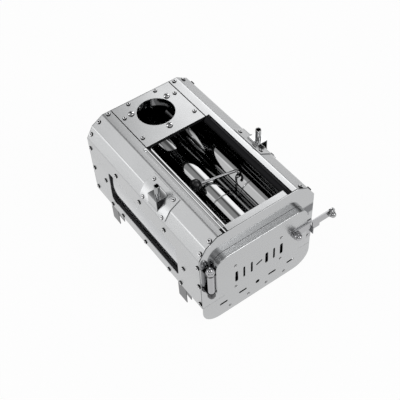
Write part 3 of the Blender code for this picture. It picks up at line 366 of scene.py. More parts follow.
def mirror_steel():
    """Polished tubes, posts, one rail and the stud of the latch."""
    colour, roughness = chosen().polish_colour, chosen().polish_roughness
    return steel("mirror_steel", colour, roughness, GRAIN_ALONG_Y, spread=0.02)


def shaded_polish():
    """Plated legs, latch, door knuckle, nuts and hook, painted darker than the sheets round them as shade.
    """
    colour = chosen().plated_shade_colour
    return steel("shaded_polish", colour, PLATED_ROUGHNESS, GRAIN_ALONG_Z, spread=0.08, relief=0.02)


def rivet_steel():
    """Plated heads of rivets and of the screws round the flue hole."""
    return steel("rivet_steel", RIVET_COLOUR, RIVET_ROUGHNESS, GRAIN_ALONG_Z, spread=0.1)


def hinge_shade_steel():
    """Steel painted dark as shade, for the hinge's lugs, pin and lower nut, the latch bolt and the leg
    brackets.
    """
    return steel("hinge_shade_steel", HINGE_SHADE_COLOUR, HINGE_SHADE_ROUGHNESS, GRAIN_ALONG_Z, spread=0.1)


def black_shade_steel():
    """Steel painted near black as shade, for the ash tray and the right-hand rail."""
    return steel("black_shade_steel", BLACK_SHADE_COLOUR, BLACK_SHADE_ROUGHNESS, GRAIN_ALONG_Y, spread=0.3, relief=0.03)


def firebox_shade_steel():
    """Painted shade: the plates in and under the firebox take the darker inside colour, with a mirror
    finish.
    """
    colour = chosen().firebox_shade_colour
    return steel("firebox_shade_steel", colour, FIREBOX_ROUGHNESS, GRAIN_ALONG_Y, spread=0.2, relief=0.01)


def painted_shade():
    """Painted shade: black standing in for the shade in hollow rivet stems, recesses and joints, and on
    shadowed faces.
    """
    made, tree, shader, where = new_material("painted_shade")
    mottle(tree, shader, noise_node(tree, where.outputs["Object"], scale=2500.0), PAINTED_SHADE_COLOURS)
    shader.inputs["Roughness"].default_value = 0.7
    shader.inputs["Specular IOR Level"].default_value = 0.2
    return made


def coated_glass():
    """Heat-resistant glass whose pale coat mirrors the surroundings and lets some light through."""
    made, tree, shader, where = new_material("coated_glass")
    marks = group_node(tree, shared(marks_group), Coordinates=where.outputs["Object"], Scale=9.0)
    mottle(tree, shader, marks.outputs["Mask"], GLASS_COLOURS, (0.07, 0.12))
    shader.inputs["Metallic"].default_value = 0.75
    shader.inputs["Transmission Weight"].default_value = 1.0
    shader.inputs["IOR"].default_value = 1.47
    return made


def seal_cloth():
    """Woven black heat seal round the windows."""
    made, tree, shader, where = new_material("seal_cloth")
    weave = group_node(tree, shared(weave_group), Coordinates=where.outputs["Object"])
    mottle(tree, shader, weave.outputs["Height"], SEAL_COLOURS)
    shader.inputs["Roughness"].default_value = 0.92
    bump(tree, shader, weave.outputs["Height"], strength=0.6, distance=0.0003)
    return made


def knob_black():
    """Black moulded ball of the lifting hook."""
    made, tree, shader, where = new_material("knob_black")
    marks = group_node(tree, shared(marks_group), Coordinates=where.outputs["Object"], Scale=60.0)
    mottle(tree, shader, marks.outputs["Mask"], KNOB_COLOURS, (0.22, 0.3))
    shader.inputs["Specular IOR Level"].default_value = 0.35
    shader.inputs["Coat Weight"].default_value = 0.1
    return made


FINISHES = {
    "satin_along": lambda: satin_steel("satin_along", GRAIN_ALONG_Y),
    "satin_across": lambda: satin_steel("satin_across", GRAIN_ALONG_X),
    "bright_along": lambda: bright_steel("bright_along", GRAIN_ALONG_Y),
    "bright_across": lambda: bright_steel("bright_across", GRAIN_ALONG_X),
    "mirror_steel": mirror_steel,
    "shaded_polish": shaded_polish,
    "hinge_shade_steel": hinge_shade_steel,
    "rivet_steel": rivet_steel,
    "black_shade_steel": black_shade_steel,
    "firebox_shade_steel": firebox_shade_steel,
    "painted_shade": painted_shade,
    "coated_glass": coated_glass,
    "seal_cloth": seal_cloth,
    "knob_black": knob_black,
}


def finish_of(name):
    """The material of this name, made when it is first needed."""
    return bpy.data.materials.get(name) or FINISHES[name]()


# Pieces


def placed(name, data):
    """A new object in the scene."""
    obj = bpy.data.objects.new(name, data)
    bpy.context.scene.collection.objects.link(obj)
    return obj


def final_mesh(obj):
    """The mesh that the object's modifiers or its curve give."""
    graph = bpy.context.evaluated_depsgraph_get()
    return bpy.data.meshes.new_from_object(obj.evaluated_get(graph))


def settle(name, shape, finish, smooth=SMOOTH, core=None):
    """Makes a bmesh an object at the origin, with its finish, core as a second finish of painted shade where
    given, and its smooth shading.
    """
    mesh = bpy.data.meshes.new(name)
    shape.to_mesh(mesh)
    shape.free()
    mesh.materials.append(finish_of(finish))
    if core:
        mesh.materials.append(finish_of(core))
    mesh.shade_smooth()
    mesh.set_sharp_from_angle(angle=smooth)
    return placed(name, mesh)


def stand_for(obj, *nodes):
    """The piece takes the place of these CAD nodes and rides on their body."""
    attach(obj, BODY_OF[nodes[0]])
    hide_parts(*nodes)


def copied(node):
    """A CAD node's shape with its triangles merged back to flat faces."""
    shape = bmesh.new()
    shape.from_mesh(frame["nodes"][node].data)
    bmesh.ops.remove_doubles(shape, verts=shape.verts, dist=MERGE)
    bmesh.ops.dissolve_limit(
        shape, angle_limit=COPLANAR, verts=shape.verts, edges=shape.edges, use_dissolve_boundaries=False
    )
    return shape


def bevel_edges(shape, edges, width, segments, clamp=True):
    bmesh.ops.bevel(
        shape,
        geom=edges,
        offset=width,
        offset_type="OFFSET",
        segments=segments,
        profile=0.5,
        affect="EDGES",
        clamp_overlap=clamp,
        material=-1,
    )


def round_edges(shape, width):
    """Rounds the edges where two faces meet at a sharp angle."""
    sharp = [edge for edge in shape.edges if edge.is_manifold and edge.calc_face_angle() > SHARP]
    bevel_edges(shape, sharp, width, 2)


def round_bends(shape, width):
    """Rounds the long shallow folds of a bent sheet."""
    folds = [
        edge
        for edge in shape.edges
        if edge.is_manifold and SHALLOW < edge.calc_face_angle() <= SHARP and edge.calc_length() > LONG_BEND
    ]
    bevel_edges(shape, folds, width, 4)


def soften(node, finish, width=PLAIN_EDGE, bend=0.0, dark=None):
    """Stands a round-edged copy of a CAD piece in its place. dark tells the faces that take painted shade,
    by their middles.
    """
    shape = copied(node)
    if bend:
        round_bends(shape, bend)
    round_edges(shape, width)
    if dark:
        for face in shape.faces:
            face.material_index = int(dark(face.calc_center_median()))
    obj = settle(f"{node}_skin", shape, finish, core="painted_shade" if dark else None)
    obj.modifiers.new("even_faces", "WEIGHTED_NORMAL").keep_sharp = True
    stand_for(obj, node)


def arc(centre, reach, start, end, steps):
    """Points round an ellipse from one angle in degrees to another, both ends among them."""
    (u, v), (wide, tall) = centre, reach
    turns = [math.radians(start + (end - start) * step / steps) for step in range(steps + 1)]
    return [(u + wide * math.cos(turn), v + tall * math.sin(turn)) for turn in turns]


def aimed(place, axis):
    """The move that takes the origin to a place and the z axis to another axis."""
    turn = Vector((0, 0, 1)).rotation_difference(Vector(axis)).to_matrix().to_4x4()
    return Matrix.Translation(place) @ turn


def spun(shape, profile, place, axis, steps):
    """Turns (radius, height) points round an axis through place, into a bmesh."""
    verts = [shape.verts.new((radius, 0.0, height)) for radius, height in profile]
    edges = [shape.edges.new(pair) for pair in zip(verts, verts[1:])]
    if profile[0][0] > 0:
        edges.append(shape.edges.new((verts[-1], verts[0])))
    made = bmesh.ops.spin(
        shape,
        geom=verts + edges,
        cent=(0, 0, 0),
        axis=(0, 0, 1),
        angle=math.tau,
        steps=steps,
        use_merge=True,
        use_duplicate=False,
    )
    found = {vert for face in shape.faces if not face.tag for vert in face.verts}
    found |= {part for part in verts + made["geom_last"] if isinstance(part, bmesh.types.BMVert)}
    bmesh.ops.transform(shape, verts=list(found), matrix=aimed(place, axis))
    for face in shape.faces:
        face.tag = True


def close_up(shape):
    """Merges the seams and poles of turned shapes, and turns their faces outwards."""
    bmesh.ops.remove_doubles(shape, verts=shape.verts, dist=MERGE)
    bmesh.ops.recalc_face_normals(shape, faces=shape.faces)


def turned(name, node, profile, place, axis, steps, finish):
    """One turned piece in place of a CAD node."""
    shape = bmesh.new()
    spun(shape, profile, place, axis, steps)
    close_up(shape)
    stand_for(settle(name, shape, finish), node)


def rounded_loop(low, high, radius, steps=10):
    """Points round a rectangle with round corners, in a plane of u and v."""
    corners = [
        ((high[0] - radius, high[1] - radius), 0),
        ((low[0] + radius, high[1] - radius), 90),
        ((low[0] + radius, low[1] + radius), 180),
        ((high[0] - radius, low[1] + radius), 270),
    ]
    points = []
    for corner, start in corners:
        points += arc(corner, (radius, radius), start, start + 90, steps)
    return points


def slot_loop(centre, length, width, turn, steps=8):
    """Points round a slot with round ends, turned by turn degrees."""
    reach, half = (length - width) / 2, width / 2
    points = arc((reach, 0.0), (half, half), -90, 90, steps)
    points += arc((-reach, 0.0), (half, half), 90, 270, steps)
    c, s = math.cos(math.radians(turn)), math.sin(math.radians(turn))
    return [(centre[0] + c * u - s * v, centre[1] + s * u + c * v) for u, v in points]


def slab(shape, loop, near_y, far_y):
    """A solid between two planes of y, with the loop's (x, z) outline."""
    face = shape.faces.new([shape.verts.new((x, near_y, z)) for x, z in loop])
    grown = bmesh.ops.extrude_face_region(shape, geom=[face], use_keep_orig=True)
    verts = [part for part in grown["geom"] if isinstance(part, bmesh.types.BMVert)]
    bmesh.ops.translate(shape, verts=verts, vec=(0.0, far_y - near_y, 0.0))


def carve(obj, cutter):
    """Cuts the cutter's shape from the piece for good, and removes the cutter."""
    modifier = obj.modifiers.new("carve", "BOOLEAN")
    modifier.operation = "DIFFERENCE"
    modifier.object = cutter
    mesh = final_mesh(obj)
    obj.modifiers.clear()
    obj.data = mesh
    bpy.data.objects.remove(cutter, do_unlink=True)


# Door


DOOR_PRESS = 0.0015
DOOR_CORNER = 0.0220
VENT_X, VENT_PITCH, VENT_Z, VENT_HEIGHT, VENT_WIDTH = -0.0072, 0.0148, 0.0565, 0.0260, 0.0036
BROAD_VENTS, BROAD_VENT_WIDTH = (-3, 1, 3), 0.0058
MIDDLE_VENT_SHARE, MIDDLE_VENT_TURN = 0.5, 25
LATCH_BORE = 0.0033
HAIR = 1e-5
CUT_PAST = 0.01


def vent_loops():
    """The door's seven vents and the hole for the latch bolt, as outlines in x and z."""
    loops = []
    for place in range(-3, 4):
        height = VENT_HEIGHT if place else VENT_HEIGHT * MIDDLE_VENT_SHARE
        width = BROAD_VENT_WIDTH if place in BROAD_VENTS else VENT_WIDTH
        centre = at(VENT_X + place * VENT_PITCH, 0.0, VENT_Z)
        loops.append(slot_loop((centre.x, centre.z), height, width, 90 if place else MIDDLE_VENT_TURN))
    low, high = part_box("latch_bolt")
    middle = ((low.x + high.x) / 2, (low.z + high.z) / 2)
    loops.append(slot_loop(middle, 2 * LATCH_BORE + HAIR, 2 * LATCH_BORE, 0, 12))
    return loops


def pressed_door():
    """The pressed pan: a block with a rounded front rim, hollowed from behind and pierced by its vents."""
    shape = bmesh.new()
    loop = rounded_loop((DOOR_LOW.x, DOOR_LOW.z), (DOOR_HIGH.x, DOOR_HIGH.z), DOOR_CORNER)
    slab(shape, loop, DOOR_LOW.y, DOOR_HIGH.y)
    bmesh.ops.recalc_face_normals(shape, faces=shape.faces)
    rim = [edge for edge in shape.edges if all(abs(vert.co.y - DOOR_LOW.y) < MERGE for vert in edge.verts)]
    bevel_edges(shape, rim, DOOR_PRESS, 6, clamp=False)
    open_back = [face for face in shape.faces if face.calc_center_median().y > DOOR_HIGH.y - MERGE]
    bmesh.ops.delete(shape, geom=open_back, context="FACES")
    bmesh.ops.solidify(shape, geom=shape.faces[:], thickness=SHEET)
    bmesh.ops.recalc_face_normals(shape, faces=shape.faces)
    door = settle("door_pressing", shape, "satin_across")
    cutter = bmesh.new()
    for vent in vent_loops():
        slab(cutter, vent, DOOR_LOW.y - CUT_PAST, DOOR_HIGH.y + CUT_PAST)
    bmesh.ops.recalc_face_normals(cutter, faces=cutter.faces)
    carve(door, settle("vent_cutter", cutter, "painted_shade"))
    shape = bmesh.new()
    shape.from_mesh(door.data)
    round_edges(shape, FINE_EDGE)
    shape.to_mesh(door.data)
    shape.free()
    door.data.shade_smooth()
    door.data.set_sharp_from_angle(angle=SMOOTH)
    door.modifiers.new("even_faces", "WEIGHTED_NORMAL").keep_sharp = True
    stand_for(door, "door_pan")


# Fasteners


RIVET_RADIUS, RIVET_HEIGHT = 0.0040, 0.0021
SADDLE_RIVET = (0.0036, 0.0013)
FLUE_RIVET_RADIUS = 0.0037
SMALL_RIVET = (0.0027, 0.0008)
# Shares of a head's radius: its hollow, the lip round that, the end of the painted shade in the hollow, and
# the end of the bright dome, past which a ring of painted shade lies round its foot
HOLLOW_SHARE, LIP_SHARE, PAINTED_CORE_SHARE, PAINTED_RING_SHARE = 0.42, 0.567, 0.43, 0.84
# Shares of a head's height: the hollow's floor, its top edge and the foot of the dome
SINK_SHARE, EDGE_SHARE, FOOT_SHARE = 0.25, 0.92, 0.18
RIVET_SMOOTH = math.radians(40.0)

# Places of the rivets in the body's frame
END_RIVET_Y, END_RIVET_HEIGHTS = 0.1570, (0.1070, 0.0585, 0.0095)
UPPER_END_SHARE, LOWER_END_SHARE = 0.50, 0.47
FRAME_TOP_Z, FRAME_TOP_Y = 0.1080, (0.0750, 0.0040, -0.0670)
FRAME_LOW_Z, FRAME_LOW_Y = 0.0050, (0.1090, 0.0750, 0.0030, -0.0680, -0.1020)
FRAME_ENDS = ((0.1195, 0.0580), (-0.1145, 0.0575))
FLANGE_RIVET_X = 0.0668
SADDLE_RIVET_Y, UPPER_SADDLE_SHARE, LOWER_SADDLE_SHARE = (-0.0084, -0.0620), 0.62, 0.22
FLUE_RIVETS = ((0.0270, 0.1570), (0.0504, 0.1312), (0.0512, 0.0742))
DOOR_RIVETS = ((-0.0530, 0.0850), (-0.0530, 0.0300), (0.0365, 0.0845), (0.0365, 0.0300))
APRON_RIVET_X, APRON_RIVET_Z = (0.0185, 0.0566), -0.0355
KEEPER_RIVETS = ((0.1029, 0.0287), (0.1029, 0.0450))
TOP_FACING = Vector((0, 0, 1))
FRONT_FACING = Vector((0, -1, 0))


def rivet_profile(radius, height):
    """A blind rivet's head: a low dome with a flat ring round the hollow of its stem."""
    hollow, lip, foot = radius * HOLLOW_SHARE, radius * LIP_SHARE, height * FOOT_SHARE
    sink = height * SINK_SHARE
    points = [(0.0, sink), (hollow, sink), (hollow, height * EDGE_SHARE), (lip, height)]
    points += arc((lip, foot), (radius - lip, height - foot), 90, 0, 5)[1:]
    return points + [(radius, -GAP), (0.0, -GAP)]


def rivets(name, seats, body, slot_name, radius=RIVET_RADIUS, height=RIVET_HEIGHT):
    """One group of rivet heads. Each seat is a point on a sheet and the way that sheet faces."""
    shape = bmesh.new()
    for place, facing in seats:
        spun(shape, rivet_profile(radius, height), place, facing, 24)
    close_up(shape)
    core, rim = radius * PAINTED_CORE_SHARE, radius * PAINTED_RING_SHARE
    # Painted shade: faces in the stem's hollow and round the head's foot take the black second finish
    for face in shape.faces:
        middle = face.calc_center_median()
        place, facing = min(seats, key=lambda seat: (seat[0] - middle).length_squared)
        offset = middle - place
        out = offset.dot(facing)
        reach = (offset - facing * out).length
        if (out > 0 and reach < core) or reach > rim:
            face.material_index = 1
    obj = settle(name, shape, "rivet_steel", RIVET_SMOOTH, "painted_shade")
    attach(obj, body)


def shoulder_seat(side, upper, share, y, lift=0.0):
    """A point on one of the body's four shoulders, and the way it faces."""
    low, high = (SHOULDER, FLAT_EDGE) if upper else (SIDE_TOP, SHOULDER)
    along = (high - low).normalized()
    facing = Vector((along.z, 0.0, -along.x))
    point = low.lerp(high, share) + facing * lift
    return at(side * point.x, y, point.z), Vector((side * facing.x, 0.0, facing.z))


def shell_seats(side):
    """Seats of the rivets that hold one side sheet to the ends, the window frame and the floor."""
    seats = []
    for y in (-END_RIVET_Y, END_RIVET_Y):
        seats.append(shoulder_seat(side, True, UPPER_END_SHARE, y))
        seats.append(shoulder_seat(side, False, LOWER_END_SHARE, y))
        seats += [side_seat(side, y, z) for z in END_RIVET_HEIGHTS]
    seats += [side_seat(side, y, FRAME_TOP_Z) for y in FRAME_TOP_Y]
    seats += [side_seat(side, y, FRAME_LOW_Z) for y in FRAME_LOW_Y]
    seats += [side_seat(side, y, z) for y, z in FRAME_ENDS]
    seats.append((at(side * FLANGE_RIVET_X, END_RIVET_Y, TOP_Z), TOP_FACING))
    return seats


def side_seat(side, y, z):
    return at(side * HALF_WIDTH, y, z), Vector((side, 0.0, 0.0))


def saddle_seats(side):
    seats = []
    for y in SADDLE_RIVET_Y:
        seats.append(shoulder_seat(side, True, UPPER_SADDLE_SHARE, y, SADDLE_LIFT))
        seats.append(shoulder_seat(side, False, LOWER_SADDLE_SHARE, y, SADDLE_LIFT))
    return seats


def flue_seats():
    return [(at(side * x, y, TOP_Z), TOP_FACING) for x, y in FLUE_RIVETS for side in (-1, 1)]


def front_seats(places, y):
    """Seats at (x, z) places of the body's frame, on a sheet whose front face is at y."""
    points = [at(x, 0.0, z) for x, z in places]
    return [(Vector((point.x, y, point.z)), FRONT_FACING) for point in points]


def all_rivets():
    for side, word in ((-1, "left"), (1, "right")):
        rivets(f"rivets_{word}_shell", shell_seats(side), "root", "polished_steel")
        rivets(f"rivets_{word}_saddle", saddle_seats(side), "root", "polished_steel", *SADDLE_RIVET)
    rivets("rivets_flue_plate", flue_seats(), "root", "polished_steel", FLUE_RIVET_RADIUS)
    rivets("rivets_door", front_seats(DOOR_RIVETS, DOOR_LOW.y), "door", "brushed_steel", *SMALL_RIVET)
    apron = front_seats(
        [(side * x, APRON_RIVET_Z) for x in APRON_RIVET_X for side in (-1, 1)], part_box("drawer_front")[0].y
    )
    rivets("rivets_drawer", apron, "drawer", "brushed_steel", *SMALL_RIVET)
    keeper = front_seats(KEEPER_RIVETS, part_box("front_plate")[0].y - SHEET - GAP)
    rivets("rivets_keeper", keeper, "root", "brushed_steel", *SMALL_RIVET)


NUT_CORNER, NUT_HEX, NUT_EDGE = 0.0075, 0.0060, 0.0006
# Shares: the dome's radius in the corners', its straight foot in its height, its start in the hexagon
DOME_SHARE, DOME_FOOT, DOME_START = 0.82, 0.12, 0.4


def cap_nut(node, axis, finish="shaded_polish"):
    """A domed hexagon nut in place of its CAD node, its base where the node's is."""
    low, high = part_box(node)
    axis = Vector(axis)
    middle = (low + high) / 2
    reach = abs((high - low).dot(axis)) / 2
    base = middle - axis * reach
    dome = 2 * reach - NUT_HEX
    shape = bmesh.new()
    made = bmesh.ops.create_cone(
        shape, cap_ends=True, segments=6, radius1=NUT_CORNER, radius2=NUT_CORNER, depth=NUT_HEX
    )
    bmesh.ops.translate(shape, verts=made["verts"], vec=(0, 0, NUT_HEX / 2))
    bevel_edges(shape, shape.edges[:], NUT_EDGE, 3)
    bmesh.ops.transform(shape, verts=shape.verts, matrix=aimed(base, axis))
    for face in shape.faces:
        face.tag = True
    radius, foot = NUT_CORNER * DOME_SHARE, dome * DOME_FOOT
    profile = [(0.0, NUT_HEX * DOME_START), (radius, NUT_HEX * DOME_START)]
    profile += arc((0.0, NUT_HEX + foot), (radius, dome - foot), 0, 90, 8)[:-1]
    profile.append((0.0, NUT_HEX + dome))
    spun(shape, profile, base, axis, 40)
    close_up(shape)
    stand_for(settle(f"{node}_turned", shape, finish), node)


# Seams


SCREW_RIM_SHARE, SCREW_RECESS, SCREW_SUNK = 0.90, 0.0032, 0.0004
SEAM_WIDTH, SEAM_RISE = 0.0009, 0.00015


def strip(shape, low, high):
    """A box between two corners."""
    size = Vector(high) - Vector(low)
    place = Matrix.Translation((Vector(low) + Vector(high)) / 2) @ Matrix.Diagonal((*size, 1.0))
    bmesh.ops.create_cube(shape, size=1.0, matrix=place)


def flue_screw(node):
    """A plated screw whose cross recess and rim are painted dark as shade."""
    low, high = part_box(node)
    axis = (low + high) / 2
    rim = (high.x - low.x) / 2 * SCREW_RIM_SHARE

    # Painted shade: the head's rim and the floor of its cross recess
    def dark(middle):
        reach = (middle - axis).to_2d().length
        return reach > rim or (reach < SCREW_RECESS and middle.z < high.z - SCREW_SUNK)

    soften(node, "rivet_steel", THIN_EDGE, dark=dark)


def seam_shade_strips():
    """Black strips of painted shade in the joints round the flue plate."""
    low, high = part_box("flue_plate")
    shape = bmesh.new()
    for x in (low.x, high.x):
        start = (x - SEAM_WIDTH / 2, low.y, high.z - SEAM_WIDTH)
        strip(shape, start, (x + SEAM_WIDTH / 2, high.y, high.z + SEAM_RISE))
    strip(shape, (low.x, low.y - SEAM_WIDTH, low.z), (high.x, low.y, high.z - SEAM_RISE))
    obj = settle("flue_plate_seam_shade", shape, "painted_shade")
    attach(obj, "root")


# Tubes, posts and the lifting hook


# Each bead's place from the front end and width, and how far from the rear end the neck starts and is full
FLUE_BEADS, BEAD_DEPTH = ((0.0180, 0.0022), (0.0775, 0.0030)), 0.0006
NECK_START, NECK_FULL, NECK_DEPTH = 0.0300, 0.0260, 0.0012
PEG_BORE = 0.0035


def flue_tube(node):
    """A flue section with two rolled beads and a drawn-in rear end."""
    low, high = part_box(node)
    radius, length = (high.x - low.x) / 2, high.y - low.y
    neck = radius - NECK_DEPTH
    place = Vector(((low.x + high.x) / 2, low.y, (low.z + high.z) / 2))
    outer = [(radius, 0.0)]
    for height, width in FLUE_BEADS:
        outer += bead(radius, height, width)
    outer += [(radius, length - NECK_START), (neck, length - NECK_FULL), (neck, length)]
    inner = [(out - SHEET, height) for out, height in reversed(outer)]
    turned(f"{node}_tube", node, outer + inner, place, (0, 1, 0), 96, "mirror_steel")


def bead(radius, height, width, steps=6):
    """A low half-round groove in a tube, as points of its profile."""
    return [
        (radius - BEAD_DEPTH * math.sin(math.pi * step / steps), height + width * (step / steps - 0.5))
        for step in range(steps + 1)
    ]


def peg_post(node):
    """The socket tube on a shoulder bracket, with a rounded rim."""
    low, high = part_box(node)
    place = Vector(((low.x + high.x) / 2, (low.y + high.y) / 2, low.z))
    radius, height = (high.x - low.x) / 2, high.z - low.z
    rim = (radius - PEG_BORE) / 2
    profile = [(PEG_BORE, 0.0), (radius, 0.0)]
    profile += arc((PEG_BORE + rim, height - rim), (rim, rim), 0, 180, 6)
    turned(f"{node}_post", node, profile, place, (0, 0, 1), 40, "mirror_steel")


# Radii of the stud's foot, neck, head and dome, the heights where these end or curve in, and chamfers
STUD_FOOT, STUD_NECK, STUD_HEAD, STUD_DOME = 0.0046, 0.0025, 0.0066, 0.0054
FOOT_TOP, NECK_TOP, HEAD_TOP, DOME_LOW, DOME_STRAIGHT = 0.0020, 0.0051, 0.0086, 0.0092, 0.0100
FOOT_CHAMFER, HEAD_CHAMFER = 0.0003, 0.0004


def latch_stud():
    """The domed stud at the lever's end."""
    low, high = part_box("latch_knob")
    place = Vector(((low.x + high.x) / 2, high.y, (low.z + high.z) / 2))
    depth = high.y - low.y
    profile = [(0.0, 0.0), (STUD_FOOT - FOOT_CHAMFER, 0.0), (STUD_FOOT, FOOT_CHAMFER)]
    profile += [(STUD_FOOT, FOOT_TOP), (STUD_NECK, FOOT_TOP), (STUD_NECK, NECK_TOP)]
    profile += [(STUD_HEAD - HEAD_CHAMFER, NECK_TOP), (STUD_HEAD, NECK_TOP + HEAD_CHAMFER)]
    profile += [(STUD_HEAD, HEAD_TOP - HEAD_CHAMFER), (STUD_HEAD - HEAD_CHAMFER, HEAD_TOP)]
    profile.append((STUD_DOME, DOME_LOW))
    profile += arc((0.0, DOME_STRAIGHT), (STUD_DOME, depth - DOME_STRAIGHT), 0, 90, 8)[:-1]
    profile.append((0.0, depth))
    turned("latch_stud", "latch_knob", profile, place, (0, -1, 0), 40, "mirror_steel")


BALL_RADIUS = 0.0100
ROD_RADIUS = 0.0025
HOOK_FROM_BODY = Vector((0.0412, -0.0486, 0.1252))
HOOK_RADIUS = 0.0062
HOOK_SWEEP, HOOK_STEPS = 210, 24
# The flat where the rod goes in, the shares of the radius where rod and bore start, and the bore's slack
BALL_FLAT, ROD_IN_BALL, BORE_IN_BALL, ROD_SLACK = 0.0034, 0.55, 0.50, 0.0002
BALL_STEPS = 28


def lifter_hook():
    """The plated rod, from the ball to its open hook."""
    low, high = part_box("lifter_ball")
    ball = (low + high) / 2
    turn_at = at(*HOOK_FROM_BODY)
    along = (turn_at - ball).normalized()
    across = along.cross(Vector((0, 0, 1))).normalized()
    centre = turn_at + across * HOOK_RADIUS
    points = [ball + along * BALL_RADIUS * ROD_IN_BALL, ball.lerp(turn_at, 0.5), turn_at]
    for out, ahead in arc((0.0, 0.0), (HOOK_RADIUS, HOOK_RADIUS), 0, HOOK_SWEEP, HOOK_STEPS)[1:]:
        points.append(centre - across * out + along * ahead)
    curve = bpy.data.curves.new("lifter_hook", "CURVE")
    curve.dimensions = "3D"
    curve.bevel_depth = ROD_RADIUS
    curve.bevel_resolution = 6
    curve.use_fill_caps = True
    spline = curve.splines.new("POLY")
    spline.points.add(len(points) - 1)
    for point, place in zip(spline.points, points):
        point.co = (*place, 1.0)
    guide = placed("hook_guide", curve)
    mesh = final_mesh(guide)
    bpy.data.objects.remove(guide, do_unlink=True)
    shape = bmesh.new()
    shape.from_mesh(mesh)
    close_up(shape)
    stand_for(settle("lifter_hook", shape, "shaded_polish", SHARP), "lifter_rod")


def lifter_knob():
    """The black ball, with the small flat where the rod goes in."""
    low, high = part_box("lifter_ball")
    ball = (low + high) / 2
    along = (at(*HOOK_FROM_BODY) - ball).normalized()
    bore, floor = ROD_RADIUS + ROD_SLACK, BALL_RADIUS * BORE_IN_BALL
    edge = 90 - math.degrees(math.asin(BALL_FLAT / BALL_RADIUS))
    profile = [(0.0, -BALL_RADIUS)] + arc((0.0, 0.0), (BALL_RADIUS, BALL_RADIUS), -90, edge, BALL_STEPS)[1:]
    profile += [(bore, profile[-1][1]), (bore, floor), (0.0, floor)]
    turned("lifter_knob", "lifter_ball", profile, ball, along, 56, "knob_black")


# Stage


FLOOR_SIZE = 120.0
FLOOR_GREY = 0.80
FLOOR_GLOW = 0.96
# Heights of a ray where the pale backdrop above the floor starts and stops fading
HORIZON_FULL, HORIZON_NONE = 0.10, 0.16
LAMPS = {
    "key_lamp": {"aim": (-0.62, -0.30, 0.72), "distance": 2.2, "size": (0.42, 0.42), "radiance": 5.0},
    "small_lamp": {"aim": (0.30, -0.62, 0.72), "distance": 2.2, "size": (0.22, 0.22), "radiance": 6.0},
}
# Light from all round: its level low down and overhead, between these heights of a ray. Soft panels are
# given by the way they lie, the angles where they start and stop fading, and what they add
WORLD_LOW, WORLD_HIGH = 0.10, 0.16
LOW_RAY, HIGH_RAY = 0.05, 0.60
PANELS = {
    "rear_overhead": ((0.59, 0.55, 0.59), 12.0, 21.0, 2.20),
    "left_overhead": ((-0.53, 0.54, 0.65), 15.0, 20.0, 1.10),
    "middle_overhead": ((-0.10, 0.60, 0.79), 12.0, 18.0, 0.40),
    "left_rear": ((-0.87, 0.48, 0.04), 18.0, 26.0, 2.00),
    "front_line": ((0.35, -0.75, 0.54), 9.0, 13.0, 4.00),
    "front_overhead": ((0.34, -0.56, 0.76), 22.0, 26.0, 0.60),
    "front_fill": ((-0.10, -0.75, 0.66), 40.0, 60.0, 0.35),
}


def seen_rays(tree):
    """One for rays from the camera, from metal and through glass, and zero for light on dull surfaces."""
    path = tree.nodes.new("ShaderNodeLightPath")
    seen = math_node(tree, "MAXIMUM", path.outputs["Is Camera Ray"], path.outputs["Is Glossy Ray"])
    return math_node(tree, "MAXIMUM", seen, path.outputs["Is Transmission Ray"])


def paper_floor():
    """The plain floor: near white to the camera and to metal, with the object's shadow kept."""
    made = bpy.data.materials.new("paper_floor")
    made.use_nodes = True
    tree = made.node_tree
    tree.nodes.clear()
    out = tree.nodes.new("ShaderNodeOutputMaterial")
    lit = tree.nodes.new("ShaderNodeBsdfDiffuse")
    lit.inputs["Color"].default_value = (FLOOR_GREY, FLOOR_GREY, FLOOR_GREY, 1.0)
    glow = tree.nodes.new("ShaderNodeEmission")
    glow.inputs["Color"].default_value = (1.0, 1.0, 1.0, 1.0)
    glow.inputs["Strength"].default_value = 1.0
    mix = tree.nodes.new("ShaderNodeMixShader")
    tree.links.new(math_node(tree, "MULTIPLY", seen_rays(tree), FLOOR_GLOW), mix.inputs["Fac"])
    tree.links.new(lit.outputs["BSDF"], mix.inputs[1])
    tree.links.new(glow.outputs["Emission"], mix.inputs[2])
    tree.links.new(mix.outputs["Shader"], out.inputs["Surface"])
    return made


def floor_sheet():
    shape = bmesh.new()
    bmesh.ops.create_grid(shape, x_segments=1, y_segments=1, size=FLOOR_SIZE / 2)
    mesh = bpy.data.meshes.new("floor_sheet")
    shape.to_mesh(mesh)
    shape.free()
    mesh.materials.append(paper_floor())
    floor = placed("floor_sheet", mesh)


def soft_lamp(name, aim, distance, size, radiance):
    """A soft lamp that faces the stove. Its power follows from the radiance that metal sees in it."""
    lamp = bpy.data.lights.new(name, "AREA")
    lamp.shape = "RECTANGLE"
    lamp.size, lamp.size_y = size
    lamp.energy = radiance * math.pi * size[0] * size[1]
    obj = placed(name, lamp)
    way = Vector(aim).normalized()
    obj.location = FIREBOX_MIDDLE + way * distance
    obj.rotation_mode = "QUATERNION"
    obj.rotation_quaternion = way.to_track_quat("Z", "Y")
    obj.visible_camera = False


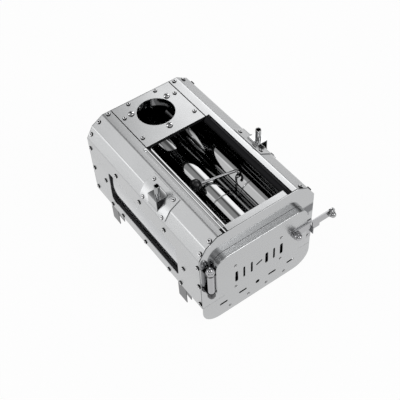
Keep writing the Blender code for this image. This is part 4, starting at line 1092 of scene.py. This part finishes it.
def studio_world():
    """Dim light from all round with brighter soft panels, over a pale backdrop low down."""
    world = bpy.data.worlds.new("studio")
    bpy.context.scene.world = world
    world.use_nodes = True
    tree = world.node_tree
    background = tree.nodes["Background"]
    way = tree.nodes.new("ShaderNodeTexCoord").outputs["Generated"]
    height = vector_node(tree, "DOT_PRODUCT", way, (0.0, 0.0, 1.0))
    level = range_node(tree, height, LOW_RAY, HIGH_RAY, WORLD_LOW, WORLD_HIGH)
    for aim, full, none, strength in PANELS.values():
        near = vector_node(tree, "DOT_PRODUCT", way, tuple(Vector(aim).normalized()))
        edges = math.cos(math.radians(none)), math.cos(math.radians(full))
        level = math_node(tree, "ADD", level, range_node(tree, near, *edges, 0.0, strength))
    horizon = range_node(tree, height, HORIZON_FULL, HORIZON_NONE, 1.0, 0.0)
    level = math_node(tree, "MAXIMUM", level, math_node(tree, "MULTIPLY", seen_rays(tree), horizon))
    tree.links.new(level, background.inputs["Strength"])
    background.inputs["Color"].default_value = (1.0, 1.0, 1.0, 1.0)


def photo_camera():
    """The camera of the photograph."""
    az, el = CAMERA_AZIMUTH, CAMERA_ELEVATION
    back = Vector((math.sin(az) * math.cos(el), -math.cos(az) * math.cos(el), math.sin(el)))
    right = Vector((math.cos(az), math.sin(az), 0.0))
    up = back.cross(right)
    c, s = math.cos(CAMERA_ROLL), math.sin(CAMERA_ROLL)
    turned_right, turned_up = right * c + up * s, up * c - right * s
    lens = bpy.data.cameras.new("photo_camera")
    lens.lens, lens.sensor_width = CAMERA_LENS, SENSOR
    camera = placed("photo_camera", lens)
    camera.matrix_world = Matrix.Translation(BODY + CAMERA_AIM + back * CAMERA_DISTANCE) @ (
        Matrix((turned_right, turned_up, back)).transposed().to_4x4()
    )
    bpy.context.scene.camera = camera


# Add-on


class StoveLooks(PropertyGroup):
    """Colours and finishes that a user would change."""

    sheet_colour: FloatVectorProperty(
        name="Sheet colour",
        description="Colour of the brushed sheets",
        subtype="COLOR",
        default=(0.475, 0.48, 0.485),
    )
    polish_colour: FloatVectorProperty(
        name="Polish colour",
        description="Colour of polished pieces",
        subtype="COLOR",
        default=(0.37, 0.373, 0.376),
    )
    # Plated finish, its colour set darker as painted shade
    plated_shade_colour: FloatVectorProperty(
        name="Plated colour",
        description="Colour of the legs, the latch, the nuts and the hook",
        subtype="COLOR",
        default=(0.40, 0.40, 0.41),
    )
    # Painted shade: the darker colour of the faces inside the firebox
    firebox_shade_colour: FloatVectorProperty(
        name="Firebox colour",
        description="Colour of the faces inside",
        subtype="COLOR",
        default=(0.42, 0.42, 0.425),
    )
    sheet_roughness: FloatProperty(
        name="Sheet roughness", description="How satin the sheets are", default=0.25, min=0.05, max=1.0
    )
    bright_roughness: FloatProperty(
        name="Bright roughness", description="Roughness of bright plates", default=0.11, min=0.02, max=1.0
    )
    polish_roughness: FloatProperty(
        name="Polish roughness",
        description="Roughness of polished pieces",
        default=0.03,
        min=0.01,
        max=1.0,
    )


class STOVE_OT_stage(Operator):
    """Adds the floor, the lamps, the world and the photograph's camera"""

    bl_idname = "stove.stage"
    bl_label = "Stage"

    def execute(self, context):
        context.scene.view_settings.view_transform = "Standard"
        floor_sheet()
        studio_world()
        for name, settings in LAMPS.items():
            soft_lamp(name, **settings)
        photo_camera()
        return {"FINISHED"}


class STOVE_OT_shells(Operator):
    """Dresses the two side sheets, with rounded bends"""

    bl_idname = "stove.shells"
    bl_label = "Side sheets"

    def execute(self, context):
        for node in ("left_shell", "right_shell"):
            soften(node, "satin_along", bend=BEND_WIDTH)
        return {"FINISHED"}


class STOVE_OT_plates(Operator):
    """Dresses the flat plates, rails, brackets, legs and screws with round edges"""

    bl_idname = "stove.plates"
    bl_label = "Plates and brackets"

    def execute(self, context):
        finishes = {
            "satin_across": ["flue_plate", "front_top_strip", "drawer_front", "back_plate"],
            "bright_along": ["left_peg_bracket", "right_peg_bracket"],
            "mirror_steel": ["left_plate_rail"],
            "black_shade_steel": ["right_plate_rail", "ash_tray"],
            "satin_along": ["left_saddle_plate", "right_saddle_plate"],
            "shaded_polish": ["latch_keeper", "latch_lever"],
            "hinge_shade_steel": ["hinge_lug_upper", "hinge_lug_lower"],
        }
        corners = [f"{end}_{side}" for end in ("front", "rear") for side in ("left", "right")]
        finishes["shaded_polish"] += [f"leg_{corner}" for corner in corners]
        finishes["hinge_shade_steel"] += [f"leg_bracket_{corner}" for corner in corners]
        for finish, nodes in finishes.items():
            for node in nodes:
                soften(node, finish)
        for node in ("flue_screw_front", "flue_screw_left", "flue_screw_right"):
            flue_screw(node)
        for node in ("hinge_pin", "latch_bolt"):
            soften(node, "hinge_shade_steel", FINE_EDGE)
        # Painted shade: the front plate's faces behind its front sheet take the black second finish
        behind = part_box("front_plate")[0].y + 1.5 * SHEET
        soften("front_plate", "bright_across", dark=lambda middle: middle.y > behind)
        seam_shade_strips()
        return {"FINISHED"}


class STOVE_OT_firebox(Operator):
    """Dresses the pieces in and under the firebox with painted shade"""

    bl_idname = "stove.firebox"
    bl_label = "Firebox"

    def execute(self, context):
        nodes = ["floor_plate", "fire_grate", "door_baffle", "left_drawer_rail", "right_drawer_rail"]
        nodes += ["left_window_frame", "right_window_frame"]
        for node in nodes:
            soften(node, "firebox_shade_steel", FINE_EDGE)
        # A wider edge overlaps itself between the collar's hole and its neck, and closes the hole
        soften("flue_collar", "firebox_shade_steel", THIN_EDGE)
        return {"FINISHED"}


class STOVE_OT_windows(Operator):
    """Dresses the window panes and their seals"""

    bl_idname = "stove.windows"
    bl_label = "Windows"

    def execute(self, context):
        for word in ("left", "right"):
            soften(f"{word}_window_pane", "coated_glass", FINE_EDGE)
            soften(f"{word}_window_gasket", "seal_cloth", SEAL_EDGE)
        return {"FINISHED"}


class STOVE_OT_door(Operator):
    """Presses the door and dresses its hinge"""

    bl_idname = "stove.door"
    bl_label = "Door"

    def execute(self, context):
        pressed_door()
        soften("door_knuckle", "shaded_polish", FINE_EDGE)
        cap_nut("hinge_nut_upper", (0, 0, 1))
        cap_nut("hinge_nut_lower", (0, 0, -1), "hinge_shade_steel")
        return {"FINISHED"}


class STOVE_OT_latch(Operator):
    """Turns the latch's nut and stud"""

    bl_idname = "stove.latch"
    bl_label = "Latch"

    def execute(self, context):
        cap_nut("latch_nut", (0, -1, 0))
        latch_stud()
        return {"FINISHED"}


class STOVE_OT_rivets(Operator):
    """Sets the rivets in every sheet"""

    bl_idname = "stove.rivets"
    bl_label = "Rivets"

    def execute(self, context):
        all_rivets()
        return {"FINISHED"}


class STOVE_OT_tubes(Operator):
    """Turns the flue sections and the socket tubes"""

    bl_idname = "stove.tubes"
    bl_label = "Tubes"

    def execute(self, context):
        for word in ("upper_left", "upper_middle", "upper_right", "lower_left", "lower_right"):
            flue_tube(f"flue_section_{word}")
        for node in ("left_peg_tube", "right_peg_tube"):
            peg_post(node)
        return {"FINISHED"}


class STOVE_OT_lifter(Operator):
    """Bends the lifting hook and turns its ball"""

    bl_idname = "stove.lifter"
    bl_label = "Lifting hook"

    def execute(self, context):
        lifter_hook()
        lifter_knob()
        return {"FINISHED"}


OPERATORS = (
    STOVE_OT_stage,
    STOVE_OT_shells,
    STOVE_OT_plates,
    STOVE_OT_firebox,
    STOVE_OT_windows,
    STOVE_OT_door,
    STOVE_OT_latch,
    STOVE_OT_rivets,
    STOVE_OT_tubes,
    STOVE_OT_lifter,
)


class STOVE_PT_panel(Panel):
    """Lists the stove's operators and looks"""

    bl_idname = "STOVE_PT_panel"
    bl_label = "Camping stove"
    bl_space_type = "VIEW_3D"
    bl_region_type = "UI"
    bl_category = "Stove"

    def draw(self, context):
        for prop in StoveLooks.__annotations__:
            self.layout.prop(context.scene.stove_looks, prop)
        for operator in OPERATORS:
            self.layout.operator(operator.bl_idname)


CLASSES = (StoveLooks, *OPERATORS, STOVE_PT_panel)


def register():
    for cls in CLASSES:
        bpy.utils.register_class(cls)
    bpy.types.Scene.stove_looks = PointerProperty(type=StoveLooks)


def unregister():
    del bpy.types.Scene.stove_looks
    for cls in reversed(CLASSES):
        bpy.utils.unregister_class(cls)


def main():
    register()
    bpy.ops.stove.stage()
    bpy.ops.stove.shells()
    bpy.ops.stove.plates()
    bpy.ops.stove.firebox()
    bpy.ops.stove.windows()
    bpy.ops.stove.door()
    bpy.ops.stove.latch()
    bpy.ops.stove.rivets()
    bpy.ops.stove.tubes()
    bpy.ops.stove.lifter()


if __name__ == "__main__":
    main()
